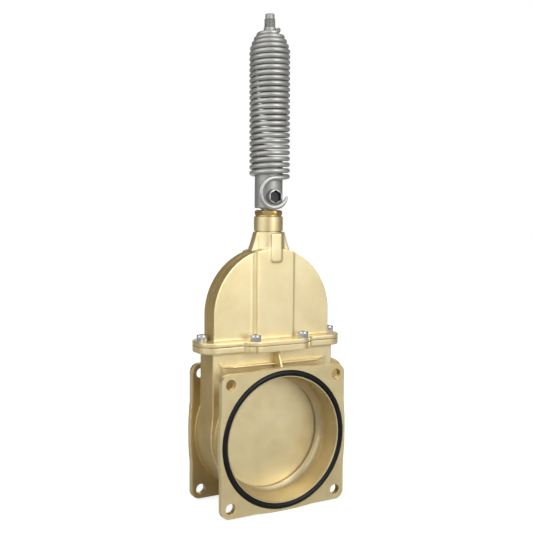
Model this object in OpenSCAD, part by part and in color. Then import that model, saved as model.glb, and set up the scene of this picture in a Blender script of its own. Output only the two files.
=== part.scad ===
// Gate valve for a vacuum tanker, closed, with a spring link on its stem.
// The origin is the centre of the front flange's mating face.
// The bore runs along +Y, the stem rises along +Z, and all sizes are in millimetres.

/* [Flanges] */
// Distance from each flange hole's centre to the flange's edges
hole_edge = 12.5; // [11:0.5:17]
// Thickness of both square flanges
flange_t = 8; // [7:0.5:10]
// Distance from the front mating face to the rear mating face
face_to_face = 91; // [88:1:100]
// Corner radius of the square flanges
flange_corner_r = 11; // [6:1:12]
// Distance between neighbouring flange holes
hole_pitch = 150; // [146:1:152]
// Diameter of the flange holes
hole_d = 13; // [11:0.5:14]
// Wall outside the ring groove, which bows each flange side outwards
rim_wall = 3.2; // [2.4:0.1:4]
// Half the length of that bow along each flange side
bow_half_l = 40; // [30:1:60]

/* [Ports] */
// Diameter of the bore at its mouth
mouth_d = 155; // [150:1:156]
// Depth of the straight part of the bore
mouth_depth = 25; // [15:1:28]
// Step from the bore's mouth in to the seat opening
seat_step = 7; // [6.5:0.5:9]
// Wall of the pipe stub between a flange and the gate chamber
stub_wall = 5.5; // [4:0.5:7]

/* [Face rings] */
// Thickness of the rubber ring in each flange face
face_ring_d = 7; // [6:0.5:7.5]
// Wall between the bore's mouth and the groove for that ring
ring_wall = 1.6; // [1:0.1:2]
// Depth of the groove that holds it
face_groove_depth = 5.2; // [4:0.2:5.6]

/* [Gate chamber] */
// Wall of the gate chamber at its flat flanks
flank_wall = 7.15; // [5:0.05:9]
// Half the outer depth of the gate chamber, front to back
chamber_half_t = 18.1; // [17:0.1:19]
// Radius of the rounded corners of the chamber's outside
chamber_edge_r = 3.1; // [1:0.1:5]
// Wall of the chamber's round bottom, at the height of its centre
bottom_wall = 9.6; // [8:0.1:11]
// Height of the centre of the round bottom
bottom_z = 6; // [4:0.5:6]
// Radius of the round boss on the chamber's right flank
side_boss_r = 20.6; // [18:0.1:22]
// Height of that boss's centre
side_boss_z = 69; // [66:0.5:72]
// Half the depth of that boss, front to back
side_boss_half_t = 15.4; // [13:0.1:17]
// Gap between each flat side of the gate's pads and the seat
gate_gap = 0.5; // [0.3:0.1:1]
// Thickness of the rubber strip under and beside the gate
seal_t = 5; // [4:0.2:6]
// Gap between the gate's rim and the rubber strip
rim_gap = 0.4; // [0.3:0.1:0.6]

/* [Gate] */
// Width of the ring in which the gate's rim overlaps the seat
seat_overlap = 2.7; // [1.5:0.1:2.9]
// Thickness of the gate over its pads
gate_t = 9; // [9:0.5:12]
// Gap between the raised pad on each face of the gate and the seat opening
pad_gap = 6.2; // [3:0.1:10]
// Height of each pad above the rim
pad_h = 1; // [0.5:0.25:2]
// Travel of the gate from closed to open
gate_travel = 145; // [144:0.5:146]
// Half the width of the lug that holds the stem's head
lug_half_w = 10.5; // [10:0.1:10.8]
// Half the depth of that lug, front to back
lug_half_t = 8.5; // [8:0.1:8.6]
// Height of the lug's underside
lug_z = 77; // [76:0.5:78]
// Height of the lug
lug_h = 21; // [20:0.5:21.5]

/* [Joint between body and bonnet] */
// Height of the underside of the body's joint flange
joint_z = 108.7; // [107:0.1:110]
// Thickness of the body's joint flange
joint_t = 7.8; // [7:0.1:9]
// Thickness of the flat gasket
gasket_t = 0.8; // [0.5:0.1:1.5]
// Thickness of the bonnet's joint flange
bonnet_flange_t = 5.2; // [5:0.1:8]
// Distance of the end screws from the ends of the joint flanges
end_screw_edge = 7.5; // [7:0.5:12]
// Half the depth of the joint flanges beside the bulge
joint_half_t = 26.5; // [25:0.5:28]
// Corner radius at the ends of the joint flanges
joint_end_r = 22; // [16:1:24]
// Gap between the end screws' heads and the bonnet's sides
end_screw_gap = 4; // [2:0.5:6]
// Sideways distance of the front and rear screws from the stem's axis
bulge_screw_x = 34; // [33:0.5:36]
// Gap between the front and rear screws' heads and the raised middle panels
bulge_screw_gap = 3.2; // [2:0.1:4]
// Distance of those screws from the edges of the bulge that carries them
bulge_screw_edge = 9; // [8:0.5:11]
// Corner radius of the bulge
bulge_corner_r = 14; // [8:1:15]
// Radius of the hollow corner where the bulge meets the straight edge
bulge_fillet_r = 8; // [4:1:10]

/* [Ribs on the chamber] */
// Height of the long rib's middle
rib_z = 91.6; // [90:0.2:93]
// Thickness of the long rib
rib_t = 2.6; // [2:0.2:4]
// How far the long rib stands out from the chamber
rib_reach = 7.4; // [4:0.2:9]
// Distance of the long rib's ends from the chamber's flanks
rib_end_gap = 10.75; // [8:0.25:20]
// Length of the slope at each end of the long rib
rib_slope = 14; // [8:1:20]
// Thickness of the short web between the two kinds of flange
web_t = 3; // [2:0.2:4]

/* [Bonnet] */
// Gap between the gate's rim and the bonnet's hollow
hollow_gap = 2.8; // [1.5:0.1:4]
// Height of the centre of the arch
arch_z = 152.5; // [150:0.5:156]
// Half the depth of the bonnet's side panels, front to back
bonnet_half_t = 14.3; // [13:0.1:16]
// Half the width of the raised middle panel at its foot
panel_half_w = 27.2; // [22:0.1:30]
// Half the depth of the raised middle panel
panel_half_t = 20.7; // [20:0.1:22]
// Wall between the arch and the hollow for the gate
bonnet_wall = 6.5; // [5:0.5:7]
// Half the depth of the hollow for the gate
hollow_half_t = 6.6; // [6.6:0.1:8]
// Height of the seam where the two halves of the mould met
seam_h = 0.6; // [0.3:0.1:0.8]

/* [Neck] */
// Radius of the machined neck
neck_r = 18.2; // [17.5:0.1:19]
// Height of the neck's top face
neck_top_z = 274.2; // [272:0.2:276]
// Height of the step where the machined neck ends
neck_step_z = 255.6; // [254:0.2:257]
// Radius of the cast cone where it meets the dome
cone_r = 20.5; // [19.5:0.1:22]
// Half the width of the side webs at the dome
web_foot_x = 27.6; // [25:0.2:28.4]
// Half the width of the side webs at the step
web_top_x = 19.4; // [18.5:0.1:23]
// Half the thickness of the side webs
web_half_t = 5.2; // [4:0.2:7]
// Half the width of the flat tab down the neck
tab_half_w = 7.4; // [6:0.2:9]
// Distance of the tab's flat face from the stem's axis
tab_face = 22; // [21.5:0.1:23]
// Height of the tab's lower end
tab_foot_z = 218.2; // [214:0.2:222]

/* [Gland] */
// Radius of the stuffing box
box_r = 14; // [13.8:0.1:14.4]
// Height of the stuffing box's floor
box_floor_z = 247.5; // [247:0.5:249]
// Radius of the hole through that floor
ledge_r = 10.5; // [10:0.1:11]
// Height of the bronze bush
bush_h = 5; // [4:0.5:6]
// Height of each packing ring
packing_h = 4; // [3:0.5:4.5]
// Number of packing rings, each a node of its own
packing_count = 3; // [3:1:3]
// Height of the brass follower ring
follower_h = 2; // [1.5:0.5:3]
// Width across flats of the gland nut
nut_af = 30; // [29.5:0.1:34]
// Height of the gland nut's top face
nut_top_z = 282.7; // [281:0.1:283]
// Height of the relief between the neck and the nut's hexagon
nut_relief_h = 1.2; // [0.5:0.1:2]
// Angle of one corner of the nut's hexagon
nut_angle = 35.6; // [0:0.1:60]

/* [Stem] */
// Diameter of the stem
stem_d = 18; // [16:0.5:18]
// Diameter of the head in the gate's lug
stem_head_d = 14; // [13:0.2:14.4]
// Height of that head
stem_head_h = 6; // [5:0.5:7]
// Diameter of the stem just above its head
stem_waist_d = 9; // [8:0.2:9.4]
// Height of the stem's top end
stem_top_z = 312; // [310:0.5:316]
// Gap round the stem in its bush, packing and nut
stem_gap = 0.06; // [0.02:0.01:0.1]

/* [Spring block] */
// Diameter of the block
block_d = 35; // [33:0.5:36]
// Height of the block's underside
block_z = 284.5; // [284:0.1:286]
// Height of the block
block_h = 60; // [50:1:70]
// Height of the small boss under the block
block_boss_h = 0.9; // [0.5:0.1:1.2]
// Radius of that boss
block_boss_r = 10.7; // [10:0.1:12]
// Turn of the block and its spring about the stem in the closed pose
block_turn = -6.5; // [-15:0.5:15]
// Height of the cross bolt
bolt_z = 299; // [298.6:0.1:300]
// Diameter of the cross bolt's head
bolt_head_d = 18; // [16:0.5:18.4]
// Height of the cross bolt's head
bolt_head_h = 8.5; // [8:0.5:11]
// Diameter of the cross bolt's shank
bolt_d = 10; // [8:1:12]
// Width across flats of the socket in the cross bolt's head
bolt_socket_af = 13; // [10:0.5:13]
// Distance of the bolt head's seat from the stem's axis
bolt_seat = 14; // [13:0.5:15]

/* [Spring] */
// Thickness of the spring wire
wire_d = 6; // [5:0.1:6]
// Mean radius of the coils
coil_r = 22.5; // [22:0.1:24]
// Height from one coil to the next at the foot of the spring
coil_pitch = 7.48; // [7.3:0.02:7.6]
// Height from one coil to the next where the cone begins
coil_top_pitch = 6.52; // [6.4:0.02:7.2]
// Number of full-size coils
coil_count = 22; // [20:1:22]
// Height where the lowest coil ends at the right
coil_foot_z = 324.8; // [324:0.1:327]
// Number of coils in the cone at the top
cone_count = 3.75; // [3.5:0.25:4]
// Mean radius of the last coil of the cone
cone_end_r = 12.7; // [12:0.1:14]
// Coil to coil height at the end of the cone
cone_end_pitch = 4.7; // [4.7:0.1:6]
// Mean radius of the open hook at the foot
hook_r = 18; // [16:0.5:19]
// Height of the hook's centre
hook_z = 304; // [302:0.5:306]
// Sideways lean of the coils at their foot
lean_foot = 1.2; // [0:0.1:1.2]
// Sideways lean of the coils where the cone begins
lean_top = 0.2; // [-0.5:0.1:0.5]
// Angle that the hook turns through from its top
hook_sweep = 256; // [200:2:270]

/* [Stud] */
// Diameter of the threaded stud
stud_d = 14; // [12:0.5:14]
// Diameter of the stud's plain tip
stud_tip_d = 11.4; // [9:0.2:11.8]
// Height where the thread ends
stud_thread_z = 518.3; // [516:0.1:520]
// Diameter of the plain collar below the thread
stud_collar_d = 15.4; // [14.4:0.2:16]
// Height of that collar's top
stud_collar_z = 507.4; // [503:0.1:508]
// Height of the stud's top end
stud_top_z = 524.4; // [523:0.1:527]
// Height of the underside of the washer that the cone holds
stud_washer_z = 486; // [484:0.5:487]
// Thickness of that washer
stud_washer_t = 4; // [3:0.5:4]
// Radius of that washer
stud_washer_r = 14.5; // [13:0.5:15]
// Height of the nut under it
stud_nut_h = 10; // [8:1:11]
// Width across flats of the nut under it
stud_nut_af = 21; // [20:1:22]

/* [Bonnet screws] */
// Diameter of the screws' heads
screw_head_d = 13; // [12:0.5:14]
// Height of the screws' heads
screw_head_h = 8; // [7:0.5:8.5]
// Diameter of the screws' shanks
screw_d = 8; // [6:1:8]
// Width across flats of the sockets in the heads
screw_socket_af = 6; // [5:0.5:7]

/* [Hidden] */
$fn = 96;

brass = [0.86, 0.78, 0.57];
bronze = [0.72, 0.56, 0.36];
steel = [0.62, 0.62, 0.6];
bright_steel = [0.72, 0.73, 0.76];
rubber = [0.09, 0.1, 0.11];
packing = [0.35, 0.34, 0.3];

mid_y = face_to_face / 2;
eps = 0.01;
fit = 0.05;

flange_side = hole_pitch + 2 * hole_edge;
groove_half_w = face_ring_d / 2 + 0.2;
face_ring_r = mouth_d / 2 + ring_wall + groove_half_w;
bow_h = face_ring_r + groove_half_w + rim_wall - flange_side / 2;
bow_r = (bow_half_l * bow_half_l + bow_h * bow_h) / (2 * bow_h);
stub_r = mouth_d / 2 + stub_wall;
seat_d = mouth_d - 2 * seat_step;

gasket_z = joint_z + joint_t;
bonnet_z = gasket_z + gasket_t;
panel_z = bonnet_z + bonnet_flange_t;
gate_r = seat_d / 2 + seat_overlap;
pad_r = seat_d / 2 - pad_gap;
pocket_half_t = gate_t / 2 + gate_gap;
seal_in_r = gate_r + rim_gap;
pocket_r = seal_in_r + seal_t;
chamber_half_w = pocket_r + flank_wall;
chamber_r = pocket_r + bottom_wall;
hollow_r = gate_r + hollow_gap;
bonnet_r = hollow_r + bonnet_wall;
channel_half_w = lug_half_w + 2;
channel_half_t = panel_half_t - 5;
relief_half_t = lug_half_t + 1.9;
relief_z = lug_z - 1;
hollow_top_z = arch_z + hollow_r;
lug_pocket_z = box_floor_z - 3;

cove_dr = (mouth_d - seat_d) / 2;
seat_lip = 2.5;
cove_dy = mid_y - pocket_half_t - seat_lip - mouth_depth;
cove_r = (cove_dr * cove_dr + cove_dy * cove_dy) / (2 * cove_dr);
cove_angle = asin(cove_dy / cove_r);
cove_steps = 8;

end_screw_x = bonnet_r + end_screw_gap + screw_head_d / 2;
joint_half_l = end_screw_x + end_screw_edge;
bulge_screw_y = panel_half_t + bulge_screw_gap + screw_head_d / 2;
bulge_half_w = bulge_screw_x + bulge_screw_edge;
bulge_half_t = bulge_screw_y + bulge_screw_edge;
screw_spots = [[-end_screw_x, 0], [end_screw_x, 0],
               [-bulge_screw_x, -bulge_screw_y], [bulge_screw_x, -bulge_screw_y],
               [-bulge_screw_x, bulge_screw_y], [bulge_screw_x, bulge_screw_y]];
screw_gap = 0.5;
screw_end_z = joint_z + 1;

stem_r = stem_d / 2;
stem_head_z = lug_z + 6.2;
slot_gap = 0.4;
stem_shoulder_z = lug_z + lug_h + 0.6;
packing_z = box_floor_z + bush_h;
follower_z = packing_z + packing_count * packing_h;
gland_z = follower_z + follower_h;
wiper_d = 2.2;
wiper_z = nut_top_z - 3.8;

hook_plane = block_d / 2 + wire_d / 2 + 0.3;
lead_turn = 0.25;

// Lays a flat shape upright, facing the front, between two depths.
module upright(y0, y1) {
    translate([0, y1, 0])
        rotate([90, 0, 0])
            linear_extrude(y1 - y0)
                children();
}

// Turns a profile of radius and depth round the bore's axis.
module round_bore() {
    rotate([-90, 0, 0])
        rotate_extrude($fn = 128)
            children();
}

// Puts something on the stem's axis.
module on_stem() {
    translate([0, mid_y, 0])
        children();
}

// Puts something on the stem's axis, turned with the block.
module on_block() {
    on_stem()
        rotate([0, 0, block_turn])
            children();
}

// A plain ring or disc that stands on the stem's axis.
module stem_ring(r_out, r_in, z0, h) {
    translate([0, 0, z0])
        difference() {
            cylinder(r = r_out, h = h);
            translate([0, 0, -1])
                cylinder(r = r_in, h = h + 2);
        }
}

// A rectangle with four round corners, made of plain pieces.
module round_rect(w, h, r) {
    square([w - 2 * r, h], center = true);
    square([w, h - 2 * r], center = true);
    for (sx = [-1, 1], sy = [-1, 1])
        translate([sx * (w / 2 - r), sy * (h / 2 - r)])
            circle(r = r);
}

// A square flange, with the bow in the middle of each side, before its holes.
module flange_outline() {
    round_rect(flange_side, flange_side, flange_corner_r);
    if (bow_h > 0)
        for (turn = [0 : 90 : 270])
            rotate(turn)
                intersection() {
                    translate([0, flange_side / 2 + bow_h - bow_r])
                        circle(r = bow_r, $fn = 720);
                    translate([-bow_half_l - 2, flange_side / 2 - 5])
                        square([2 * bow_half_l + 4, bow_h + 6]);
                }
}

// The four flange holes.
module flange_hole_spots() {
    for (sx = [-1, 1], sz = [-1, 1])
        translate([sx * hole_pitch / 2, sz * hole_pitch / 2])
            children();
}

// The outline that both joint flanges and the gasket share, seen from above.
module joint_outline() {
    round_rect(2 * joint_half_l, 2 * joint_half_t, joint_end_r);
    round_rect(2 * bulge_half_w, 2 * bulge_half_t, bulge_corner_r);
    for (sx = [-1, 1], sy = [-1, 1])
        scale([sx, sy])
            difference() {
                translate([bulge_half_w - eps, joint_half_t - eps])
                    square(bulge_fillet_r + eps);
                translate([bulge_half_w + bulge_fillet_r, joint_half_t + bulge_fillet_r])
                    circle(r = bulge_fillet_r);
            }
}

// Round holes for the six screws, seen from above.
module screw_holes(r, z0, h) {
    for (spot = screw_spots)
        translate([spot[0], spot[1], z0])
            cylinder(r = r, h = h, $fn = 32);
}

// The gate's outline in its pocket: a half round with straight sides up to a height.
module pocket_outline(r, top) {
    circle(r = r);
    translate([-r, 0])
        square([2 * r, top]);
}

// Half of the bore: a straight mouth and a hollow curve down to the seat.
module bore_profile() {
    polygon(concat(
        [[0, -1], [mouth_d / 2, -1]],
        [for (i = [0 : cove_steps])
            let (a = cove_angle * i / cove_steps)
                [mouth_d / 2 - cove_r + cove_r * cos(a), mouth_depth + cove_r * sin(a)]],
        [[seat_d / 2, mid_y], [0, mid_y]]));
}

// The groove for a face ring, as a profile of radius and depth.
module groove_profile() {
    translate([face_ring_r - groove_half_w, -1])
        square([2 * groove_half_w, face_groove_depth + 1]);
}

// The thin rib that lies across the chamber above the flange.
module long_rib() {
    rib_half_l = chamber_half_w - rib_end_gap;
    rib_face = chamber_half_t + rib_reach;
    translate([0, 0, rib_z - rib_t / 2])
        linear_extrude(rib_t)
            polygon([[-rib_half_l, -chamber_half_t + 1], [-rib_half_l + rib_slope, -rib_face],
                     [rib_half_l - rib_slope, -rib_face], [rib_half_l, -chamber_half_t + 1]]);
}

// The short upright web that slants from the joint flange down to the square flange.
module short_web() {
    foot_y = flange_t - 0.5 - mid_y;
    head_y = -joint_half_t - 0.8;
    foot_z = flange_side / 2;
    translate([-web_t / 2, 0, 0])
        rotate([90, 0, 90])
            linear_extrude(web_t)
                polygon([[-chamber_half_t + 1, foot_z - 8], [foot_y, foot_z - 8], [foot_y, foot_z],
                         [head_y, joint_z + 1], [-chamber_half_t + 1, joint_z + 1]]);
}

// The round boss on the chamber's right flank, behind the corner of the front flange.
module side_boss() {
    upright(mid_y - side_boss_half_t, mid_y + side_boss_half_t)
        intersection() {
            translate([chamber_half_w, side_boss_z])
                circle(r = side_boss_r);
            translate([chamber_half_w - 4, side_boss_z - side_boss_r])
                square(2 * side_boss_r);
        }
}

// The gate chamber's outside: a round bottom with rounded corners and a flat box above it.
module chamber_block() {
    translate([0, mid_y, bottom_z])
        rotate([-90, 0, 0])
            rotate_extrude($fn = 128)
                intersection() {
                    round_rect(2 * chamber_r, 2 * chamber_half_t, chamber_edge_r);
                    translate([0, -chamber_half_t])
                        square([chamber_r, 2 * chamber_half_t]);
                }
    translate([0, mid_y, bottom_z])
        linear_extrude(joint_z + 1 - bottom_z)
            round_rect(2 * chamber_half_w, 2 * chamber_half_t, chamber_edge_r);
}

// The one-piece brass casting that carries both flanges and the gate's pocket.
module body_casting() {
    upright(0, flange_t)
        flange_outline();
    upright(face_to_face - flange_t, face_to_face)
        flange_outline();
    upright(flange_t - 1, face_to_face - flange_t + 1)
        circle(r = stub_r);
    chamber_block();
    side_boss();
    on_stem() {
        translate([0, 0, joint_z])
            linear_extrude(joint_t)
                joint_outline();
        for (turn = [0, 180])
            rotate([0, 0, turn]) {
                long_rib();
                short_web();
            }
    }
}

module body() {
    color(brass)
        difference() {
            body_casting();
            round_bore()
                bore_profile();
            translate([0, face_to_face, 0])
                mirror([0, 1, 0])
                    round_bore()
                        bore_profile();
            upright(mid_y - pocket_half_t, mid_y + pocket_half_t)
                pocket_outline(pocket_r, gasket_z + 1);
            translate([-channel_half_w, mid_y - relief_half_t, relief_z])
                cube([2 * channel_half_w, 2 * relief_half_t, gasket_z - relief_z + 1]);
            round_bore()
                groove_profile();
            translate([0, face_to_face, 0])
                mirror([0, 1, 0])
                    round_bore()
                        groove_profile();
            upright(-1, flange_t + 1)
                flange_hole_spots()
                    circle(d = hole_d);
            upright(face_to_face - flange_t - 1, face_to_face + 1)
                flange_hole_spots()
                    circle(d = hole_d);
            on_stem()
                screw_holes(screw_d / 2 + fit, joint_z + 0.5, joint_t);
        }
}

// The arch of the bonnet, seen from the front, down to a height.
module arch_outline(r, foot) {
    intersection() {
        union() {
            translate([0, arch_z])
                circle(r = r, $fn = 128);
            translate([-r, foot])
                square([2 * r, arch_z - foot]);
        }
        translate([-r - 1, foot])
            square([2 * r + 2, arch_z + r + 1 - foot]);
    }
}

// The raised middle panels, front and rear, with their tapered sides.
module middle_panels() {
    slope = 1.7;
    edge = 2;
    intersection() {
        upright(mid_y - panel_half_t - 1, mid_y + panel_half_t + 1)
            arch_outline(bonnet_r, panel_z - 1);
        on_stem()
            translate([0, 0, panel_z - 2])
                linear_extrude(arch_z + bonnet_r - panel_z + 4)
                    for (flip = [0, 1])
                        mirror([0, flip, 0])
                            polygon([[-panel_half_w, 0], [-panel_half_w, -bonnet_half_t],
                                     [-panel_half_w + slope / 4, -panel_half_t + edge],
                                     [-panel_half_w + slope + edge / 2, -panel_half_t],
                                     [panel_half_w - slope - edge / 2, -panel_half_t],
                                     [panel_half_w - slope / 4, -panel_half_t + edge],
                                     [panel_half_w, -bonnet_half_t], [panel_half_w, 0]]);
    }
}

// The flat tab that runs down the neck onto the middle panel.
module neck_tab() {
    corner_r = 3;
    upright(-tab_face, -neck_r + 4) {
        translate([-tab_half_w, tab_foot_z + corner_r])
            square([2 * tab_half_w, neck_step_z - tab_foot_z - corner_r]);
        translate([-tab_half_w + corner_r, tab_foot_z])
            square([2 * (tab_half_w - corner_r), corner_r + 1]);
        for (side = [-1, 1])
            translate([side * (tab_half_w - corner_r), tab_foot_z + corner_r])
                circle(r = corner_r, $fn = 32);
    }
}

// Half the width of the side webs on the way from the dome to the step, a hollow curve.
function web_reach(s) = web_top_x + (web_foot_x + 1.4 - web_top_x) * pow(1 - s, 1.3);

// The neck that carries the gland, with its cast cone and side webs.
module neck() {
    cone_z = arch_z + bonnet_r - 8;
    on_stem() {
        translate([0, 0, cone_z])
            cylinder(r1 = cone_r, r2 = neck_r + 0.7, h = neck_step_z - cone_z);
        translate([0, 0, neck_step_z - 1])
            cylinder(r = neck_r, h = neck_top_z - neck_step_z + 1);
        upright(-web_half_t, web_half_t)
            polygon(concat(
                [for (i = [0 : 6]) [-web_reach(i / 6), cone_z + (neck_step_z - cone_z) * i / 6]],
                [for (i = [6 : -1 : 0]) [web_reach(i / 6), cone_z + (neck_step_z - cone_z) * i / 6]]));
        for (turn = [0, 180])
            rotate([0, 0, turn])
                neck_tab();
    }
}

// The hollow that takes the gate, its lug and the stem, up to the gland.
module bonnet_hollow() {
    upright(mid_y - hollow_half_t, mid_y + hollow_half_t)
        arch_outline(hollow_r, bonnet_z - 1);
    on_stem() {
        translate([-channel_half_w, -channel_half_t, bonnet_z - 1])
            cube([2 * channel_half_w, 2 * channel_half_t, hollow_top_z - 3 - bonnet_z + 1]);
        translate([0, 0, hollow_top_z - 10])
            cylinder(r = box_r, h = lug_pocket_z - hollow_top_z + 10);
        translate([0, 0, lug_pocket_z - 1])
            cylinder(r = ledge_r, h = box_floor_z - lug_pocket_z + 2);
        translate([0, 0, box_floor_z])
            cylinder(r = box_r, h = neck_top_z - box_floor_z + 1);
    }
}

module bonnet() {
    color(brass)
        difference() {
            union() {
                upright(mid_y - bonnet_half_t, mid_y + bonnet_half_t)
                    arch_outline(bonnet_r, panel_z - 1);
                upright(mid_y - 0.7, mid_y + 0.7)
                    arch_outline(bonnet_r + seam_h, panel_z - 1);
                middle_panels();
                neck();
                on_stem()
                    translate([0, 0, bonnet_z])
                        linear_extrude(bonnet_flange_t)
                            joint_outline();
            }
            bonnet_hollow();
            on_stem()
                screw_holes(screw_d / 2 + screw_gap, bonnet_z - 1, bonnet_flange_t + 2);
        }
}

module bonnet_gasket() {
    color(rubber)
        on_stem()
            difference() {
                translate([0, 0, gasket_z])
                    linear_extrude(gasket_t)
                        joint_outline();
                translate([-hollow_r, -hollow_half_t, gasket_z - 1])
                    cube([2 * hollow_r, 2 * hollow_half_t, gasket_t + 2]);
                translate([-channel_half_w, -relief_half_t, gasket_z - 1])
                    cube([2 * channel_half_w, 2 * relief_half_t, gasket_t + 2]);
                screw_holes(screw_d / 2 + screw_gap, gasket_z - 1, gasket_t + 2);
            }
}

module gate_seal() {
    color(rubber)
        difference() {
            upright(mid_y - pocket_half_t + fit, mid_y + pocket_half_t - fit)
                pocket_outline(pocket_r - fit, gasket_z - fit);
            upright(mid_y - pocket_half_t - 1, mid_y + pocket_half_t + 1)
                pocket_outline(seal_in_r, gasket_z + 1);
        }
}

// A round rubber ring that sits in a flange face.
module face_ring() {
    round_bore()
        translate([face_ring_r, face_groove_depth - face_ring_d / 2])
            circle(d = face_ring_d, $fn = 32);
}

module front_o_ring() {
    color(rubber)
        face_ring();
}

module rear_o_ring() {
    color(rubber)
        translate([0, face_to_face, 0])
            mirror([0, 1, 0])
                face_ring();
}

// The lug on top of the gate, with the slot for the stem's head.
module gate_lug() {
    head_r = stem_head_d / 2 + slot_gap;
    waist_r = stem_waist_d / 2 + slot_gap;
    on_stem()
        difference() {
            union() {
                translate([-lug_half_w, -gate_t / 2, gate_r - 10])
                    cube([2 * lug_half_w, gate_t, lug_z - gate_r + 11]);
                translate([-lug_half_w, -lug_half_t, lug_z])
                    cube([2 * lug_half_w, 2 * lug_half_t, lug_h]);
            }
            translate([-head_r, -lug_half_t - 1, stem_head_z - slot_gap / 2])
                cube([2 * head_r, 2 * lug_half_t + 2, stem_head_h + slot_gap]);
            translate([-waist_r, -lug_half_t - 1, stem_head_z + stem_head_h])
                cube([2 * waist_r, 2 * lug_half_t + 2, lug_h]);
        }
}

module gate() {
    color(brass) {
        upright(mid_y - gate_t / 2 + pad_h, mid_y + gate_t / 2 - pad_h)
            circle(r = gate_r);
        upright(mid_y - gate_t / 2, mid_y + gate_t / 2)
            circle(r = pad_r);
        gate_lug();
    }
}

module stem() {
    color(steel)
        on_stem()
            difference() {
                union() {
                    translate([0, 0, stem_head_z])
                        cylinder(d = stem_head_d, h = stem_head_h);
                    translate([0, 0, stem_head_z + stem_head_h - 1])
                        cylinder(d = stem_waist_d, h = stem_shoulder_z - stem_head_z - stem_head_h + 2);
                    translate([0, 0, stem_shoulder_z])
                        cylinder(r = stem_r, h = stem_top_z - stem_shoulder_z);
                }
                rotate([0, 0, block_turn])
                    translate([0, 0, bolt_z])
                        rotate([90, 0, 0])
                            cylinder(d = bolt_d + 2 * fit, h = stem_d + 4, center = true, $fn = 48);
            }
}

module stem_bush() {
    color(bronze)
        on_stem()
            stem_ring(box_r - fit, stem_r + stem_gap, box_floor_z, bush_h);
}

// One ring of packing, counted from the lowest.
module packing_ring(index) {
    color(packing)
        on_stem()
            stem_ring(box_r - fit, stem_r + stem_gap, packing_z + index * packing_h, packing_h - fit);
}

module packing_ring_lower() {
    packing_ring(0);
}

module packing_ring_middle() {
    packing_ring(1);
}

module packing_ring_upper() {
    packing_ring(2);
}

module gland_follower() {
    color(brass)
        on_stem()
            stem_ring(box_r - fit, stem_r + stem_gap, follower_z, follower_h - fit);
}

module gland_nut() {
    hex_r = nut_af / 2 / cos(30);
    hex_z = neck_top_z + nut_relief_h;
    edge = 1.2;
    color(brass)
        on_stem()
            difference() {
                union() {
                    translate([0, 0, gland_z])
                        cylinder(r = box_r - fit, h = neck_top_z - gland_z + 1);
                    translate([0, 0, neck_top_z])
                        cylinder(r = neck_r - 1.7, h = nut_relief_h + 1);
                    intersection() {
                        translate([0, 0, hex_z])
                            rotate([0, 0, nut_angle])
                                cylinder(r = hex_r, h = nut_top_z - hex_z, $fn = 6);
                        union() {
                            translate([0, 0, hex_z])
                                cylinder(r = hex_r, h = nut_top_z - edge - hex_z);
                            translate([0, 0, nut_top_z - edge])
                                cylinder(r1 = hex_r, r2 = hex_r - 1.6 * edge, h = edge);
                        }
                    }
                }
                translate([0, 0, gland_z - 1])
                    cylinder(r = stem_r + stem_gap, h = nut_top_z - gland_z + 2);
                translate([0, 0, wiper_z - wiper_d / 2 - 0.1])
                    cylinder(r = stem_r + stem_gap + wiper_d + 0.1, h = wiper_d + 0.2);
            }
}

module stem_wiper() {
    color(rubber)
        on_stem()
            translate([0, 0, wiper_z])
                rotate_extrude()
                    translate([stem_r + stem_gap + wiper_d / 2, 0])
                        circle(d = wiper_d, $fn = 24);
}

// A cap screw that stands upright, with its head's underside at the given height.
module cap_screw(head_z, end_z) {
    translate([0, 0, end_z])
        cylinder(d = screw_d, h = head_z - end_z + 1, $fn = 32);
    difference() {
        translate([0, 0, head_z])
            cylinder(d = screw_head_d, h = screw_head_h, $fn = 48);
        translate([0, 0, head_z + screw_head_h - 4])
            cylinder(d = screw_socket_af / cos(30), h = 5, $fn = 6);
    }
}

module bonnet_screws() {
    color(bright_steel)
        on_stem()
            for (spot = screw_spots)
                translate([spot[0], spot[1], 0])
                    cap_screw(panel_z, screw_end_z);
}

module spring_block() {
    edge = 1;
    block_r = block_d / 2;
    color(steel)
        on_block()
            difference() {
                union() {
                    translate([0, 0, block_z - block_boss_h])
                        cylinder(r = block_boss_r, h = block_boss_h + 1);
                    translate([0, 0, block_z])
                        cylinder(r1 = block_r - edge, r2 = block_r, h = edge);
                    translate([0, 0, block_z + edge])
                        cylinder(r = block_r, h = block_h - 3 * edge);
                    translate([0, 0, block_z + block_h - 2 * edge])
                        cylinder(r1 = block_r, r2 = block_r - 2 * edge, h = 2 * edge);
                }
                translate([0, 0, block_z - block_boss_h - 1])
                    cylinder(r = stem_r + fit, h = stem_top_z + 1 - block_z + block_boss_h + 1);
                translate([0, 0, bolt_z])
                    rotate([90, 0, 0])
                        cylinder(d = bolt_d + 2 * fit, h = block_d + 4, center = true, $fn = 48);
                translate([0, -bolt_seat, bolt_z])
                    rotate([90, 0, 0])
                        cylinder(d = bolt_head_d + 1, h = block_r, $fn = 64);
            }
}

module hook_bolt() {
    color(bright_steel)
        on_block()
            translate([0, -bolt_seat, bolt_z])
                rotate([90, 0, 0])
                    difference() {
                        union() {
                            cylinder(d = bolt_head_d, h = bolt_head_h, $fn = 64);
                            translate([0, 0, -bolt_seat - block_d / 2 + 2.5])
                                cylinder(d = bolt_d, h = bolt_seat + block_d / 2 - 1.5, $fn = 48);
                        }
                        translate([0, 0, bolt_head_h - 5])
                            rotate([0, 0, 30])
                                cylinder(d = bolt_socket_af / cos(30), h = 6, $fn = 6);
                    }
}

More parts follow.
